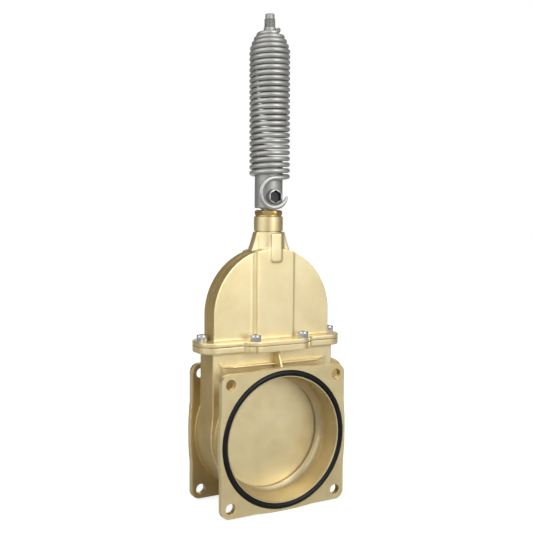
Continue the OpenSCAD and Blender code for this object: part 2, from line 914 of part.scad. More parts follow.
// Radius of the wire's path at a number of turns above the foot of the coils.
// It shrinks slowly at the foot of the cone and faster towards its end.
cone_start = 0.62;
function coil_radius(t) = t < coil_count
    ? coil_r
    : let (u = (t - coil_count) / cone_count)
        coil_r - (coil_r - cone_end_r) * (cone_start * u + (1 - cone_start) * u * u);

// Height of the wire's path there. The coils draw together steadily towards the cone's end.
cone_foot_z = coil_foot_z + coil_count * (coil_pitch + coil_top_pitch) / 2;
function coil_height(t) = t < coil_count
    ? coil_foot_z + coil_pitch * t - (coil_pitch - coil_top_pitch) * t * t / (2 * coil_count)
    : let (u = t - coil_count)
        cone_foot_z + coil_top_pitch * u - (coil_top_pitch - cone_end_pitch) * u * u / (2 * cone_count);

// The spring leans a little, because it stands loose on its hook.
function lean(z) = lean_foot + (lean_top - lean_foot) * (z - coil_foot_z) / (cone_foot_z - coil_foot_z);

// A point of the coils. Turns count from the right-hand side, anticlockwise from above.
function coil_point(t) =
    [coil_radius(t) * cos(360 * t) + lean(coil_height(t)), coil_radius(t) * sin(360 * t), coil_height(t)];

// A point of the hook. The angle counts from its top, towards the left.
// The hook closes in a little towards its free end.
hook_taper = 0.08;
function hook_reach(a) = hook_r * (1 - hook_taper * pow(a / hook_sweep, 2));
function hook_point(a) = [-hook_reach(a) * sin(a), -hook_plane, hook_z + hook_reach(a) * cos(a)];

// A point of the lead from the hook's top to the foot of the coils.
function lead_point(s) =
    let (bend = s * s * (3 - 2 * s), r = hook_plane + (coil_r - hook_plane) * bend)
        [r * sin(90 * s) + lean_foot * bend, -r * cos(90 * s),
         hook_z + hook_r + (coil_foot_z - hook_z - hook_r) * bend];

// A point of the short free end, which rises and closes in on the stud.
function tail_point(s) =
    let (t = coil_count + cone_count + s / 8, r = cone_end_r - 1.2 * s, z = coil_height(t) + 4.4 * s * s)
        [r * cos(360 * t) + lean(z), r * sin(360 * t), z];

hook_steps = 18;
lead_steps = 5;
turn_steps = 20;
tail_steps = 4;
wire_sides = 8;
coil_steps = turn_steps * (coil_count + cone_count);

wire_path = concat(
    [for (i = [0 : hook_steps]) hook_point(hook_sweep * (1 - i / hook_steps))],
    [for (i = [1 : lead_steps]) lead_point(i / lead_steps)],
    [for (i = [1 : coil_steps]) coil_point(i / turn_steps)],
    [for (i = [1 : tail_steps]) tail_point(i / tail_steps)]);

// The direction of the wire at each point of its path.
function unit(v) = v / norm(v);
function wire_heading(i) = unit(
    wire_path[min(i + 1, len(wire_path) - 1)] - wire_path[max(i - 1, 0)]);

// Two directions square to the wire that change smoothly along the hook and the coils.
function wire_side(i) =
    let (h = wire_heading(i), p = wire_path[i], outward = unit([p[0], p[1] - 1.5, 0]))
        unit(cross(h, abs(h * outward) > 0.97 ? [0, 0, 1] : outward));
function wire_up(i) = cross(wire_side(i), wire_heading(i));

// A closed tube through the path, with a flat end at each side.
module wire_tube() {
    n = len(wire_path);
    points = [for (i = [0 : n - 1], k = [0 : wire_sides - 1])
        let (a = 360 * k / wire_sides)
            wire_path[i] + wire_d / 2 * (wire_side(i) * cos(a) + wire_up(i) * sin(a))];
    walls = [for (i = [0 : n - 2], k = [0 : wire_sides - 1])
        let (a = i * wire_sides, j = (k + 1) % wire_sides)
            [a + k, a + wire_sides + k, a + wire_sides + j, a + j]];
    caps = [[for (k = [0 : wire_sides - 1]) k],
            [for (k = [wire_sides - 1 : -1 : 0]) (n - 1) * wire_sides + k]];
    polyhedron(points, concat(walls, caps), convexity = 10);
}

module spring() {
    color(steel)
        on_block()
            wire_tube();
}

module stud() {
    thread_foot_z = stud_washer_z - stud_nut_h - 2;
    color(steel)
        on_block() {
            translate([0, 0, thread_foot_z])
                cylinder(d = stud_d, h = stud_thread_z - thread_foot_z, $fn = 48);
            translate([0, 0, stud_collar_z - 11])
                cylinder(d = stud_collar_d, h = 11, $fn = 48);
            translate([0, 0, stud_thread_z - 1])
                cylinder(d = stud_tip_d, h = stud_top_z - stud_thread_z, $fn = 48);
            translate([0, 0, stud_top_z - 1])
                cylinder(d1 = stud_tip_d, d2 = stud_tip_d - 1.6, h = 1, $fn = 48);
        }
}

module stud_washer() {
    color(steel)
        on_block()
            stem_ring(stud_washer_r, stud_d / 2 + fit, stud_washer_z, stud_washer_t);
}

module stud_nut() {
    color(steel)
        on_block()
            translate([0, 0, stud_washer_z - stud_nut_h])
                difference() {
                    cylinder(d = stud_nut_af / cos(30), h = stud_nut_h, $fn = 6);
                    translate([0, 0, -1])
                        cylinder(r = stud_d / 2 + fit, h = stud_nut_h + 2, $fn = 48);
                }
}

body();
bonnet();
bonnet_gasket();
gate_seal();
front_o_ring();
rear_o_ring();
gate();
stem();
stem_bush();
packing_ring_lower();
packing_ring_middle();
packing_ring_upper();
gland_follower();
gland_nut();
stem_wiper();
bonnet_screws();
spring_block();
hook_bolt();
spring();
stud();
stud_washer();
stud_nut();
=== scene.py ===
"""Looks of a vacuum tanker gate valve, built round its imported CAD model."""
import math

import bmesh
import bpy
from mathutils import Matrix, Vector


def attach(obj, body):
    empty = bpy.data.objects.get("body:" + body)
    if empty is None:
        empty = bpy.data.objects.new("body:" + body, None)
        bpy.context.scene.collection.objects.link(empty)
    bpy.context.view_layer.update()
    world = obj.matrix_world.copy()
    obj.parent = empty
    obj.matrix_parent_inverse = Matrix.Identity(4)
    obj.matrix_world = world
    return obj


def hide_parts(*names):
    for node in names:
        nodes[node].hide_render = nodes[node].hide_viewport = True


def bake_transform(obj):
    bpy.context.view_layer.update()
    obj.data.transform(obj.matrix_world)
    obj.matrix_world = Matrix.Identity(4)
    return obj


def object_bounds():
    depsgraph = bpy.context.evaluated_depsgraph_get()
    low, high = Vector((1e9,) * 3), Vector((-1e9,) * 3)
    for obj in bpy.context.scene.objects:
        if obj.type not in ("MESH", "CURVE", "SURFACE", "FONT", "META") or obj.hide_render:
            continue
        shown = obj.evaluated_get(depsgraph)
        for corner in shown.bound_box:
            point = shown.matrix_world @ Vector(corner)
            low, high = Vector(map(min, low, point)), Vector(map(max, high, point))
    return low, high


MM = 0.001
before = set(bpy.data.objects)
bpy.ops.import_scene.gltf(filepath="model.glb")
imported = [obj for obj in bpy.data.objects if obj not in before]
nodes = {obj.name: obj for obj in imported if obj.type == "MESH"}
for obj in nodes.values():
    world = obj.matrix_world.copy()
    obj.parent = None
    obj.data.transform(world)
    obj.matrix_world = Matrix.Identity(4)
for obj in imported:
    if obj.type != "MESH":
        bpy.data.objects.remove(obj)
scene = bpy.context.scene
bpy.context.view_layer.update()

# Camera
# Solved from the photograph's edges. Angles in degrees, lengths in metres.
YAW, PITCH, ROLL = -29.80, 3.90, 0.438
AIM = Vector((-0.0021, 0.0457, 0.2111))
CAMERA_REACH, VIEW_FAR = 1.0419, 50
LENS_MM, SENSOR_MM = 55.72, 36


def make_camera():
    yaw, pitch, roll = (math.radians(a) for a in (YAW, PITCH, ROLL))
    back = Vector((math.sin(yaw) * math.cos(pitch), -math.cos(yaw) * math.cos(pitch), math.sin(pitch)))
    level = (-back).cross(Vector((0, 0, 1))).normalized()
    upright = level.cross(-back)
    right = level * math.cos(roll) + upright * math.sin(roll)
    up = upright * math.cos(roll) - level * math.sin(roll)
    data = bpy.data.cameras.new("camera")
    data.lens = LENS_MM
    data.sensor_width = SENSOR_MM
    data.clip_end = VIEW_FAR
    camera = bpy.data.objects.new("camera", data)
    turn = Matrix((right, up, back)).transposed().to_4x4()
    camera.matrix_world = Matrix.Translation(AIM + back * CAMERA_REACH) @ turn
    scene.collection.objects.link(camera)
    scene.camera = camera


make_camera()

# Nodes of materials and of the world
SRGB_STRAIGHT, SRGB_SLOPE, SRGB_SHIFT, SRGB_POWER = 0.04045, 12.92, 0.055, 2.4


def lin(colour):
    """sRGB values from 0 to 255 as the linear colour that a shader takes."""
    parts = [v / 255 for v in colour]
    return tuple(c / SRGB_SLOPE if c <= SRGB_STRAIGHT else ((c + SRGB_SHIFT) / (1 + SRGB_SHIFT)) ** SRGB_POWER
                 for c in parts)


def noise(tree, scale, detail, rough):
    """A noise texture in the object's own coordinates, its scale in blobs per metre."""
    coord = tree.nodes.new("ShaderNodeTexCoord")
    texture = tree.nodes.new("ShaderNodeTexNoise")
    texture.inputs["Scale"].default_value = scale
    texture.inputs["Detail"].default_value = detail
    texture.inputs["Roughness"].default_value = rough
    tree.links.new(coord.outputs["Object"], texture.inputs["Vector"])
    return texture.outputs["Fac"]


def colour_ramp(tree, source, stops, interpolation="LINEAR"):
    """Colours over a value from 0 to 1, given as (place, colour)."""
    node = tree.nodes.new("ShaderNodeValToRGB")
    node.color_ramp.interpolation = interpolation
    elements = node.color_ramp.elements
    for element, (place, colour) in zip(elements, (stops[0], stops[-1])):
        element.position, element.color = place, (*colour, 1)
    for place, colour in stops[1:-1]:
        elements.new(place).color = (*colour, 1)
    tree.links.new(source, node.inputs["Fac"])
    return node.outputs["Color"]


def map_range(tree, source, from_low, from_high, to_low, to_high, interpolation="LINEAR"):
    node = tree.nodes.new("ShaderNodeMapRange")
    node.interpolation_type = interpolation
    for socket, value in (("From Min", from_low), ("From Max", from_high),
                          ("To Min", to_low), ("To Max", to_high)):
        node.inputs[socket].default_value = value
    tree.links.new(source, node.inputs["Value"])
    return node.outputs["Result"]


def calculate(tree, operation, *sources):
    """The result of a Math node over numbers and sockets."""
    node = tree.nodes.new("ShaderNodeMath")
    node.operation = operation
    for socket, source in zip(node.inputs, sources):
        if isinstance(source, (int, float)):
            socket.default_value = source
        else:
            tree.links.new(source, socket)
    return node.outputs[0]


def vector_measure(tree, operation, source, vector):
    """A number from a place or a direction and a fixed vector."""
    node = tree.nodes.new("ShaderNodeVectorMath")
    node.operation = operation
    node.inputs[1].default_value = vector
    tree.links.new(source, node.inputs[0])
    return node.outputs["Value"]


def show_mix(tree, share, first, second, out):
    """Mixes two shaders by a share of the second, and sends the result out."""
    mix = tree.nodes.new("ShaderNodeMixShader")
    tree.links.new(share, mix.inputs["Fac"])
    tree.links.new(first.outputs[0], mix.inputs[1])
    tree.links.new(second.outputs[0], mix.inputs[2])
    tree.links.new(mix.outputs[0], out.inputs["Surface"])


# Materials
NOISE_LOW, NOISE_HIGH = 0.3, 0.7
CLOUD_STOPS = (0.25, 0.5, 0.75)
GLOSS_FINER, GLOSS_RANGE, GRAIN_STRENGTH = 3, 0.05, 0.5
RUBBER_SPECULAR = 0.25


def surface(name, dark, middle, light, metallic, rough, grain, depth, patch=28):
    """Cloudy colour, uneven gloss and a fine grain. Grain and patch are blobs per metre, depth is metres."""
    mat = bpy.data.materials.new(name)
    mat.use_nodes = True
    tree = mat.node_tree
    shader = tree.nodes["Principled BSDF"]
    shader.inputs["Metallic"].default_value = metallic
    stops = [(place, lin(colour)) for place, colour in zip(CLOUD_STOPS, (dark, middle, light))]
    cloud = noise(tree, patch, detail=4, rough=0.6)
    tree.links.new(colour_ramp(tree, cloud, stops), shader.inputs["Base Color"])
    gloss = noise(tree, patch * GLOSS_FINER, detail=3, rough=0.5)
    gloss = map_range(tree, gloss, NOISE_LOW, NOISE_HIGH, rough - GLOSS_RANGE, rough + GLOSS_RANGE)
    tree.links.new(gloss, shader.inputs["Roughness"])
    bump = tree.nodes.new("ShaderNodeBump")
    bump.inputs["Strength"].default_value = GRAIN_STRENGTH
    bump.inputs["Distance"].default_value = depth
    tree.links.new(noise(tree, grain, detail=4, rough=0.65), bump.inputs["Height"])
    tree.links.new(bump.outputs["Normal"], shader.inputs["Normal"])
    return mat


cast_brass = surface("cast_brass", (230, 212, 164), (239, 223, 177), (246, 232, 189),
                     metallic=0.85, rough=0.42, grain=1500, depth=0.00022, patch=24)
machined_brass = surface("machined_brass", (220, 201, 152), (231, 214, 166), (239, 224, 179),
                         metallic=0.88, rough=0.4, grain=900, depth=0.00003, patch=20)
dull_brass = surface("dull_brass", (186, 160, 102), (200, 174, 116), (212, 188, 132),
                     metallic=0.88, rough=0.34, grain=1200, depth=0.00004, patch=26)
# A greyer, darker brass that paints the shade inside the bore and in the neck's undercut.
bore_shade_brass = surface("bore_shade_brass", (186, 170, 134), (197, 182, 146), (207, 193, 158),
                     metallic=0.85, rough=0.4, grain=900, depth=0.00002, patch=20)
# A darker brass with a rougher grain. Its darkness paints the shade on the chamber's flanks, the flanges'
# back sides, the pipe stubs and the bonnet's rim.
painted_shade_brass = surface("painted_shade_brass", (190, 166, 114), (202, 178, 124), (214, 191, 138),
                    metallic=0.78, rough=0.5, grain=1300, depth=0.0003, patch=26)
bronze = surface("bronze", (160, 120, 75), (178, 136, 88), (190, 150, 100),
                 metallic=0.9, rough=0.35, grain=1200, depth=0.00003)
steel = surface("steel", (160, 160, 157), (171, 171, 168), (182, 182, 179),
                metallic=0.66, rough=0.46, grain=1600, depth=0.00002)
bolt_steel = surface("bolt_steel", (160, 161, 162), (172, 173, 174), (184, 185, 186),
                     metallic=0.8, rough=0.38, grain=1600, depth=0.00002)
spring_steel = surface("spring_steel", (172, 172, 169), (184, 184, 181), (196, 196, 192),
                       metallic=0.74, rough=0.42, grain=1800, depth=0.00002)
screw_steel = surface("screw_steel", (182, 184, 190), (196, 198, 203), (210, 212, 216),
                      metallic=0.95, rough=0.2, grain=1500, depth=0.00002)
# A dark steel that paints the shade deep in the hexagon sockets of the cap screws and the cross bolt.
socket_shade_steel = surface("socket_shade_steel", (52, 52, 54), (62, 62, 64), (74, 74, 76),
                     metallic=0.3, rough=0.55, grain=1500, depth=0.00002)
gasket = surface("gasket", (126, 102, 56), (140, 116, 66), (154, 130, 78),
                 metallic=0, rough=0.8, grain=1800, depth=0.00006)
packing = surface("packing", (70, 68, 60), (88, 86, 76), (104, 102, 92),
                  metallic=0, rough=0.8, grain=1800, depth=0.0001)
rubber = surface("rubber", (8, 9, 12), (13, 14, 17), (22, 23, 26),
                 metallic=0, rough=0.36, grain=1500, depth=0.00003)
rubber.node_tree.nodes["Principled BSDF"].inputs["Specular IOR Level"].default_value = RUBBER_SPECULAR


def paint(obj, *mats):
    obj.data.materials.clear()
    for mat in mats:
        obj.data.materials.append(mat)
    return obj


for name, mat in {
    "body": cast_brass, "bonnet": cast_brass, "gate": cast_brass, "gland_nut": machined_brass,
    "bonnet_gasket": gasket, "gate_seal": rubber, "front_o_ring": rubber, "rear_o_ring": rubber,
    "stem_wiper": rubber, "stem_bush": bronze, "gland_follower": bronze,
    "packing_ring_lower": packing, "packing_ring_middle": packing, "packing_ring_upper": packing,
    "bonnet_screws": screw_steel, "hook_bolt": screw_steel, "spring": spring_steel,
    "stem": steel, "spring_block": steel, "stud": steel, "stud_washer": steel, "stud_nut": steel,
}.items():
    paint(nodes[name], mat)

# Shapes, in millimetres and degrees
# Slots of the brasses: cast, machined, the bore's painted shade, and the painted shade of the flanks and
# flange backs.
brasses = (cast_brass, machined_brass, bore_shade_brass, painted_shade_brass)
CAST, MACHINED, BORE_SHADE, PAINTED_SHADE = 0, 1, 2, 3
MID_Y = 45.5
CAST_VOXEL, CAST_ROUNDS, CAST_SMOOTH, CAST_KEEP = 0.9, 4, 0.5, 0.13
# How far pieces and cutters reach past the face where they meet, short and long.
JOIN, PAST = 1, 2
# Steps of the round shapes.
ROUND_STEPS, BORE_STEPS, TURNED_STEPS, ARCH_STEPS = 96, 180, 128, 72
SAME_POINT_M = 1e-7


def new_object(name, verts, faces, slot_index=CAST):
    """A closed mesh from points in millimetres."""
    mesh = bpy.data.meshes.new(name)
    mesh.from_pydata([Vector(v) * MM for v in verts], [], faces)
    bm = bmesh.new()
    bm.from_mesh(mesh)
    bmesh.ops.recalc_face_normals(bm, faces=bm.faces)
    bm.to_mesh(mesh)
    bm.free()
    obj = bpy.data.objects.new(name, mesh)
    scene.collection.objects.link(obj)
    paint(obj, *brasses)
    for p in mesh.polygons:
        p.material_index = slot_index
    return obj


def prism(outline, low, high, axis="Z", slot_index=CAST):
    """An outline of (x, y) raised along Z, or of (x, z) pushed along Y."""
    count = len(outline)
    verts = [(a, b, level) if axis == "Z" else (a, level, b) for level in (low, high) for a, b in outline]
    faces = [list(range(count)), list(range(2 * count - 1, count - 1, -1))]
    faces += [[i, (i + 1) % count, count + (i + 1) % count, count + i] for i in range(count)]
    return new_object("prism", verts, faces, slot_index)


def box(x0, x1, y0, y1, z0, z1):
    """A cutter with flat sides."""
    return prism([(x0, y0), (x1, y0), (x1, y1), (x0, y1)], z0, z1, "Z", MACHINED)


def lathe(profile, steps=ROUND_STEPS, axis="Z", centre=(0, MID_Y, 0), slot_index=CAST, turn=0.0):
    """A closed profile of (radius, height) turned round an axis through centre."""
    verts, faces, rings = [], [], []
    for radius, height in profile:
        if radius == 0:
            rings.append([len(verts)])
            verts.append((0, 0, height))
            continue
        rings.append(list(range(len(verts), len(verts) + steps)))
        for k in range(steps):
            a = 2 * math.pi * k / steps + math.radians(turn)
            verts.append((radius * math.cos(a), radius * math.sin(a), height))
    for a, b in zip(rings, rings[1:] + rings[:1]):
        if len(a) == 1 and len(b) == 1:
            continue
        for k in range(steps):
            j = (k + 1) % steps
            if len(a) == 1:
                faces.append([a[0], b[j], b[k]])
            elif len(b) == 1:
                faces.append([a[k], a[j], b[0]])
            else:
                faces.append([a[k], a[j], b[j], b[k]])
    cx, cy, cz = centre
    if axis == "Z":
        verts = [(x + cx, y + cy, z + cz) for x, y, z in verts]
    else:
        verts = [(x + cx, z + cy, y + cz) for x, y, z in verts]
    return new_object("lathe", verts, faces, slot_index)


def disc(radius, low, high, axis="Z", centre=(0, MID_Y, 0), steps=ROUND_STEPS, slot_index=CAST):
    return lathe([(0, low), (radius, low), (radius, high), (0, high)], steps, axis, centre, slot_index)


def hexagon(across, low, high, centre, turn=0.0):
    """A machined hexagon, its size measured across its flats."""
    radius = across / 2 / math.cos(math.pi / 6)
    return lathe([(0, low), (radius, low), (radius, high), (0, high)], 6, "Z", centre, MACHINED, turn)


def edge(radius, height, steps):
    """Points of an edge from its steps, each a (rise, change of radius)."""
    return [(radius + change, height + rise) for rise, change in steps]


def tube(name, rings):
    """A closed skin over rings that have the same number of points."""
    sides = len(rings[0])
    last = (len(rings) - 1) * sides
    faces = []
    for low in range(0, last, sides):
        for k in range(sides):
            j = (k + 1) % sides
            faces.append([low + k, low + j, low + sides + j, low + sides + k])
    faces.append(list(range(sides)))
    faces.append([last + k for k in reversed(range(sides))])
    return new_object(name, [v for ring in rings for v in ring], faces)


def arc(cx, cy, radius, start, end, count):
    """Points of an arc, with count steps from its start to its end."""
    angles = [math.radians(start + (end - start) * i / count) for i in range(count + 1)]
    return [(cx + radius * math.cos(a), cy + radius * math.sin(a)) for a in angles]


def freeze(obj):
    """Applies all modifiers."""
    graph = bpy.context.evaluated_depsgraph_get()
    mesh = bpy.data.meshes.new_from_object(obj.evaluated_get(graph))
    obj.modifiers.clear()
    obj.data = mesh
    return obj


def combine(target, tools, operation):
    for tool in tools:
        m = target.modifiers.new("combine", "BOOLEAN")
        m.operation = operation
        m.solver = "MANIFOLD"
        m.object = tool
    freeze(target)
    for tool in tools:
        bpy.data.objects.remove(tool)
    return target


def bevel(obj, width, segments, angle):
    """Rounds the edges whose faces meet at more than an angle."""
    m = obj.modifiers.new("round", "BEVEL")
    m.width = width * MM
    m.segments = segments
    m.limit_method = "ANGLE"
    m.angle_limit = math.radians(angle)
    return freeze(obj)


def soften(obj):
    """Turns a sharp union into a casting with rounded edges and filled corners."""
    m = obj.modifiers.new("voxels", "REMESH")
    m.mode = "VOXEL"
    m.voxel_size = CAST_VOXEL * MM
    m = obj.modifiers.new("round", "SMOOTH")
    m.factor = CAST_SMOOTH
    m.iterations = CAST_ROUNDS
    freeze(obj)
    m = obj.modifiers.new("thin", "DECIMATE")
    m.ratio = CAST_KEEP
    freeze(obj)
    return paint(obj, *brasses)


def shade(obj, angle):
    """Smooth faces, with sharp edges above an angle and between materials."""
    bm = bmesh.new()
    bm.from_mesh(obj.data)
    bmesh.ops.remove_doubles(bm, verts=bm.verts, dist=SAME_POINT_M)
    for f in bm.faces:
        f.smooth = True
    for e in bm.edges:
        if len(e.link_faces) == 2:
            one, other = e.link_faces
            flat = e.calc_face_angle(0.0) < math.radians(angle)
            e.smooth = flat and one.material_index == other.material_index
    bm.to_mesh(obj.data)
    bm.free()
    return obj


def recolour(obj, main, cut):
    """Gives a piece its own two materials, and keeps which faces have which."""
    spots = [p.material_index for p in obj.data.polygons]
    paint(obj, main, cut)
    for p, spot in zip(obj.data.polygons, spots):
        p.material_index = min(spot, 1)
    return obj


def stand_for(obj, name, node, body):
    obj.name = name
    obj.data.name = name
    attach(obj, body)
    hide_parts(node)
    return obj


# The joint between body and bonnet
JOINT_Z, JOINT_T, GASKET_T, BONNET_T = 108.7, 7.8, 0.8, 5.2
GASKET_Z = JOINT_Z + JOINT_T
BONNET_Z = GASKET_Z + GASKET_T
PANEL_Z = BONNET_Z + BONNET_T
JOINT_HALF_L, JOINT_HALF_T, JOINT_END_R = 100.5, 26.5, 22
BULGE_W, BULGE_T, BULGE_R, HOLLOW_R = 43, 39.4, 14, 8
SCREWS = [(-91.9, 0), (92.5, 0), (-34, -30.4), (34, -30.4), (-34, 30.4), (34, 30.4)]
SLAB_HALF, SLAB_FRONT, SLAB_T = 130, -30, 8
LUG_HALF = 12.5


def joint_outline():
    """The outline of the joint flanges, seen from above, anticlockwise."""
    quarter = (arc(JOINT_HALF_L - JOINT_END_R, JOINT_HALF_T - JOINT_END_R, JOINT_END_R, 0, 90, 12)
               + arc(BULGE_W + HOLLOW_R, JOINT_HALF_T + HOLLOW_R, HOLLOW_R, 270, 180, 5)
               + arc(BULGE_W - BULGE_R, BULGE_T - BULGE_R, BULGE_R, 0, 90, 8))
    right = quarter + [(-x, y) for x, y in reversed(quarter)]
    points = right + [(-x, -y) for x, y in right]
    return [(x, y + MID_Y) for x, y in points]


def slab(low, high):
    """A flat cutter that is wider than the joint."""
    return box(-SLAB_HALF, SLAB_HALF, SLAB_FRONT, SLAB_HALF, low, high)


# The body casting
DEPTH = 91.0
FLANGE_HALF, FLANGE_CORNER, FLANGE_T = 87.5, 11, 8
BOW_HALF_L, BOW_H = 40, 2.15
HOLE_AT, HOLE_R, HOLE_EDGE = 75.0, 6.5, 0.4
MOUTH_R, MOUTH_DEEP, MOUTH_EDGE, MOUTH_OUT = 77.5, 25, 0.7, 3
SEAT_R, SEAT_LAND, GATE_HALF = 70.5, 2.5, 5.0
STUB_R, STUB_END = 83, 2
RING_R, RING_HALF, RING_DEEP = 82.8, 3.7, 5.2
FACE_HALF, FACE_TOP, FACE_CUT = 120, 100, 12
CHAMBER_W, CHAMBER_T, CHAMBER_R, CHAMBER_EDGE, BOTTOM_Z = 85.75, 18.1, 88.2, 3.1, 6
FLANK_BLEND, FLANK_TOP = 70, 2
POCKET_R = 78.6
LUG_PATH_T, LUG_PATH_Z = 10.4, 76
BOSS_R, BOSS_T, BOSS_Z = 20.55, 15.4, 69
RIB_Z, RIB_T, RIB_REACH, RIB_HALF_L, RIB_SLOPE, RIB_EDGE = 91.6, 2.6, 7.4, 75, 14, 0.8
WEB_T, WEB_Z, WEB_FLANGE, WEB_JOINT = 3, 79.5, 38, 27.3
TAPPED_R, TAPPED_FLOOR = 4.05, 0.5
# Limits for the faces that take the darker brass of painted shade.
SHADE_FACING, SHADE_BACK, SHADE_OVER, SHADE_STUB, SHADE_CLEAR, SHADE_RIM, SHADE_TOP = 0.8, 3, 0.6, 2.5, 0.4, 1.2, 1.5


def flange_outline():
    """A square with round corners, each side bowed outwards in its middle."""
    bow_r = (BOW_HALF_L ** 2 + BOW_H ** 2) / (2 * BOW_H)
    half = math.degrees(math.asin(BOW_HALF_L / bow_r))
    corner = FLANGE_HALF - FLANGE_CORNER
    quarter = (arc(FLANGE_HALF + BOW_H - bow_r, 0, bow_r, -half, half, 24)
               + arc(corner, corner, FLANGE_CORNER, 0, 90, 10))
    points = []
    for _ in range(4):
        points += quarter
        quarter = [(-y, x) for x, y in quarter]
    return points


def flange(low, high):
    return prism(flange_outline(), low, high, "Y")


def chamber():
    """The gate chamber's outside: a round bottom that runs softly into upright flanks."""
    reach = math.sqrt((CHAMBER_R + FLANK_BLEND) ** 2 - (CHAMBER_W + FLANK_BLEND) ** 2)
    low = math.degrees(math.asin(reach / (CHAMBER_R + FLANK_BLEND)))
    right = (arc(0, BOTTOM_Z, CHAMBER_R, -90, low, 60)
             + arc(CHAMBER_W + FLANK_BLEND, BOTTOM_Z + reach, FLANK_BLEND, 180 + low, 180, 8)
             + [(CHAMBER_W, JOINT_Z + FLANK_TOP)])
    outline = right + [(-x, z) for x, z in reversed(right[1:])]
    shell = prism(outline, MID_Y - CHAMBER_T, MID_Y + CHAMBER_T, "Y")
    return bevel(shell, CHAMBER_EDGE, segments=5, angle=40)


def ribs_and_webs():
    """The long rib across the chamber and the short upright web, front and rear."""
    pieces = []
    for side in (-1, 1):
        foot, face = MID_Y + side * (CHAMBER_T - JOIN), MID_Y + side * (CHAMBER_T + RIB_REACH)
        inner = RIB_HALF_L - RIB_SLOPE
        rib = prism([(-RIB_HALF_L, foot), (-inner, face), (inner, face), (RIB_HALF_L, foot)],
                    RIB_Z - RIB_T / 2, RIB_Z + RIB_T / 2)
        flange_y, joint_y = MID_Y + side * WEB_FLANGE, MID_Y + side * WEB_JOINT
        web = prism([(foot, WEB_Z), (flange_y, WEB_Z), (flange_y, FLANGE_HALF),
                     (joint_y, JOINT_Z + JOIN), (foot, JOINT_Z + JOIN)], -WEB_T / 2, WEB_T / 2)
        # The web was drawn as (y, z) raised along Z, and is turned to stand across X.
        web.data.transform(Matrix(((0, 0, 1, 0), (1, 0, 0, 0), (0, 1, 0, 0), (0, 0, 0, 1))))
        pieces += [bevel(piece, RIB_EDGE, segments=3, angle=30) for piece in (rib, web)]
    return pieces


def paint_shade_faces(cast):
    """Paints shade with a darker brass on the flanges' back sides, the pipe stubs and the chamber's rim."""
    flange_back = MID_Y - FLANGE_T
    for p in cast.data.polygons:
        x, y, z = p.center / MM
        depth = abs(y - MID_Y)
        back = abs(p.normal.y) > SHADE_FACING and depth > flange_back - SHADE_BACK
        stub = math.hypot(x, z) < STUB_R + SHADE_STUB and CHAMBER_T + SHADE_CLEAR < depth < flange_back
        rim = depth < CHAMBER_T - SHADE_RIM and z < JOINT_Z - SHADE_TOP
        # Faces between the flanges and on the chamber's flanks take the darker brass: painted shade.
        if (back or stub or rim) and depth < flange_back + SHADE_OVER:
            p.material_index = PAINTED_SHADE


def bore_profile():
    """The bore from its mouth down the round cove to the gate, as (radius, depth)."""
    wide, deep = MOUTH_R - SEAT_R, MID_Y - GATE_HALF - SEAT_LAND - MOUTH_DEEP
    cove_r = (wide ** 2 + deep ** 2) / (2 * wide)
    turn = math.degrees(math.asin(deep / cove_r))
    cove = [(MOUTH_R - cove_r + x, MOUTH_DEEP + y) for x, y in arc(0, 0, cove_r, 0, turn, 10)]
    edge = [(0, -MOUTH_OUT), (MOUTH_R + MOUTH_EDGE + MOUTH_OUT, -MOUTH_OUT), (MOUTH_R + MOUTH_EDGE, 0),
            (MOUTH_R, MOUTH_EDGE)]
    return edge + cove + [(SEAT_R, MID_Y), (0, MID_Y)]


def flange_cuts(depth):
    """The cutters of one flange. depth turns a distance behind its face into a place along Y."""
    def turned(profile, centre, steps, slot_index):
        return lathe([(r, depth(d)) for r, d in profile], steps, "Y", centre, slot_index)

    groove = [(RING_R - RING_HALF, -PAST), (RING_R + RING_HALF, -PAST),
              (RING_R + RING_HALF, RING_DEEP), (RING_R - RING_HALF, RING_DEEP)]
    hole = [(0, -PAST), (HOLE_R + HOLE_EDGE, -PAST), (HOLE_R + HOLE_EDGE, 0), (HOLE_R, HOLE_EDGE),
            (HOLE_R, FLANGE_T + PAST), (0, FLANGE_T + PAST)]
    low, high = sorted((depth(0), depth(-FACE_CUT)))
    # The bore's faces take the darker brass that paints its shade.
    cuts = [turned(bore_profile(), (0, 0, 0), BORE_STEPS, BORE_SHADE),
            turned(groove, (0, 0, 0), BORE_STEPS, MACHINED),
            box(-FACE_HALF, FACE_HALF, low, high, -FACE_HALF, FACE_TOP)]
    for x in (-HOLE_AT, HOLE_AT):
        for z in (-HOLE_AT, HOLE_AT):
            cuts.append(turned(hole, (x, 0, z), 40, MACHINED))
    return cuts


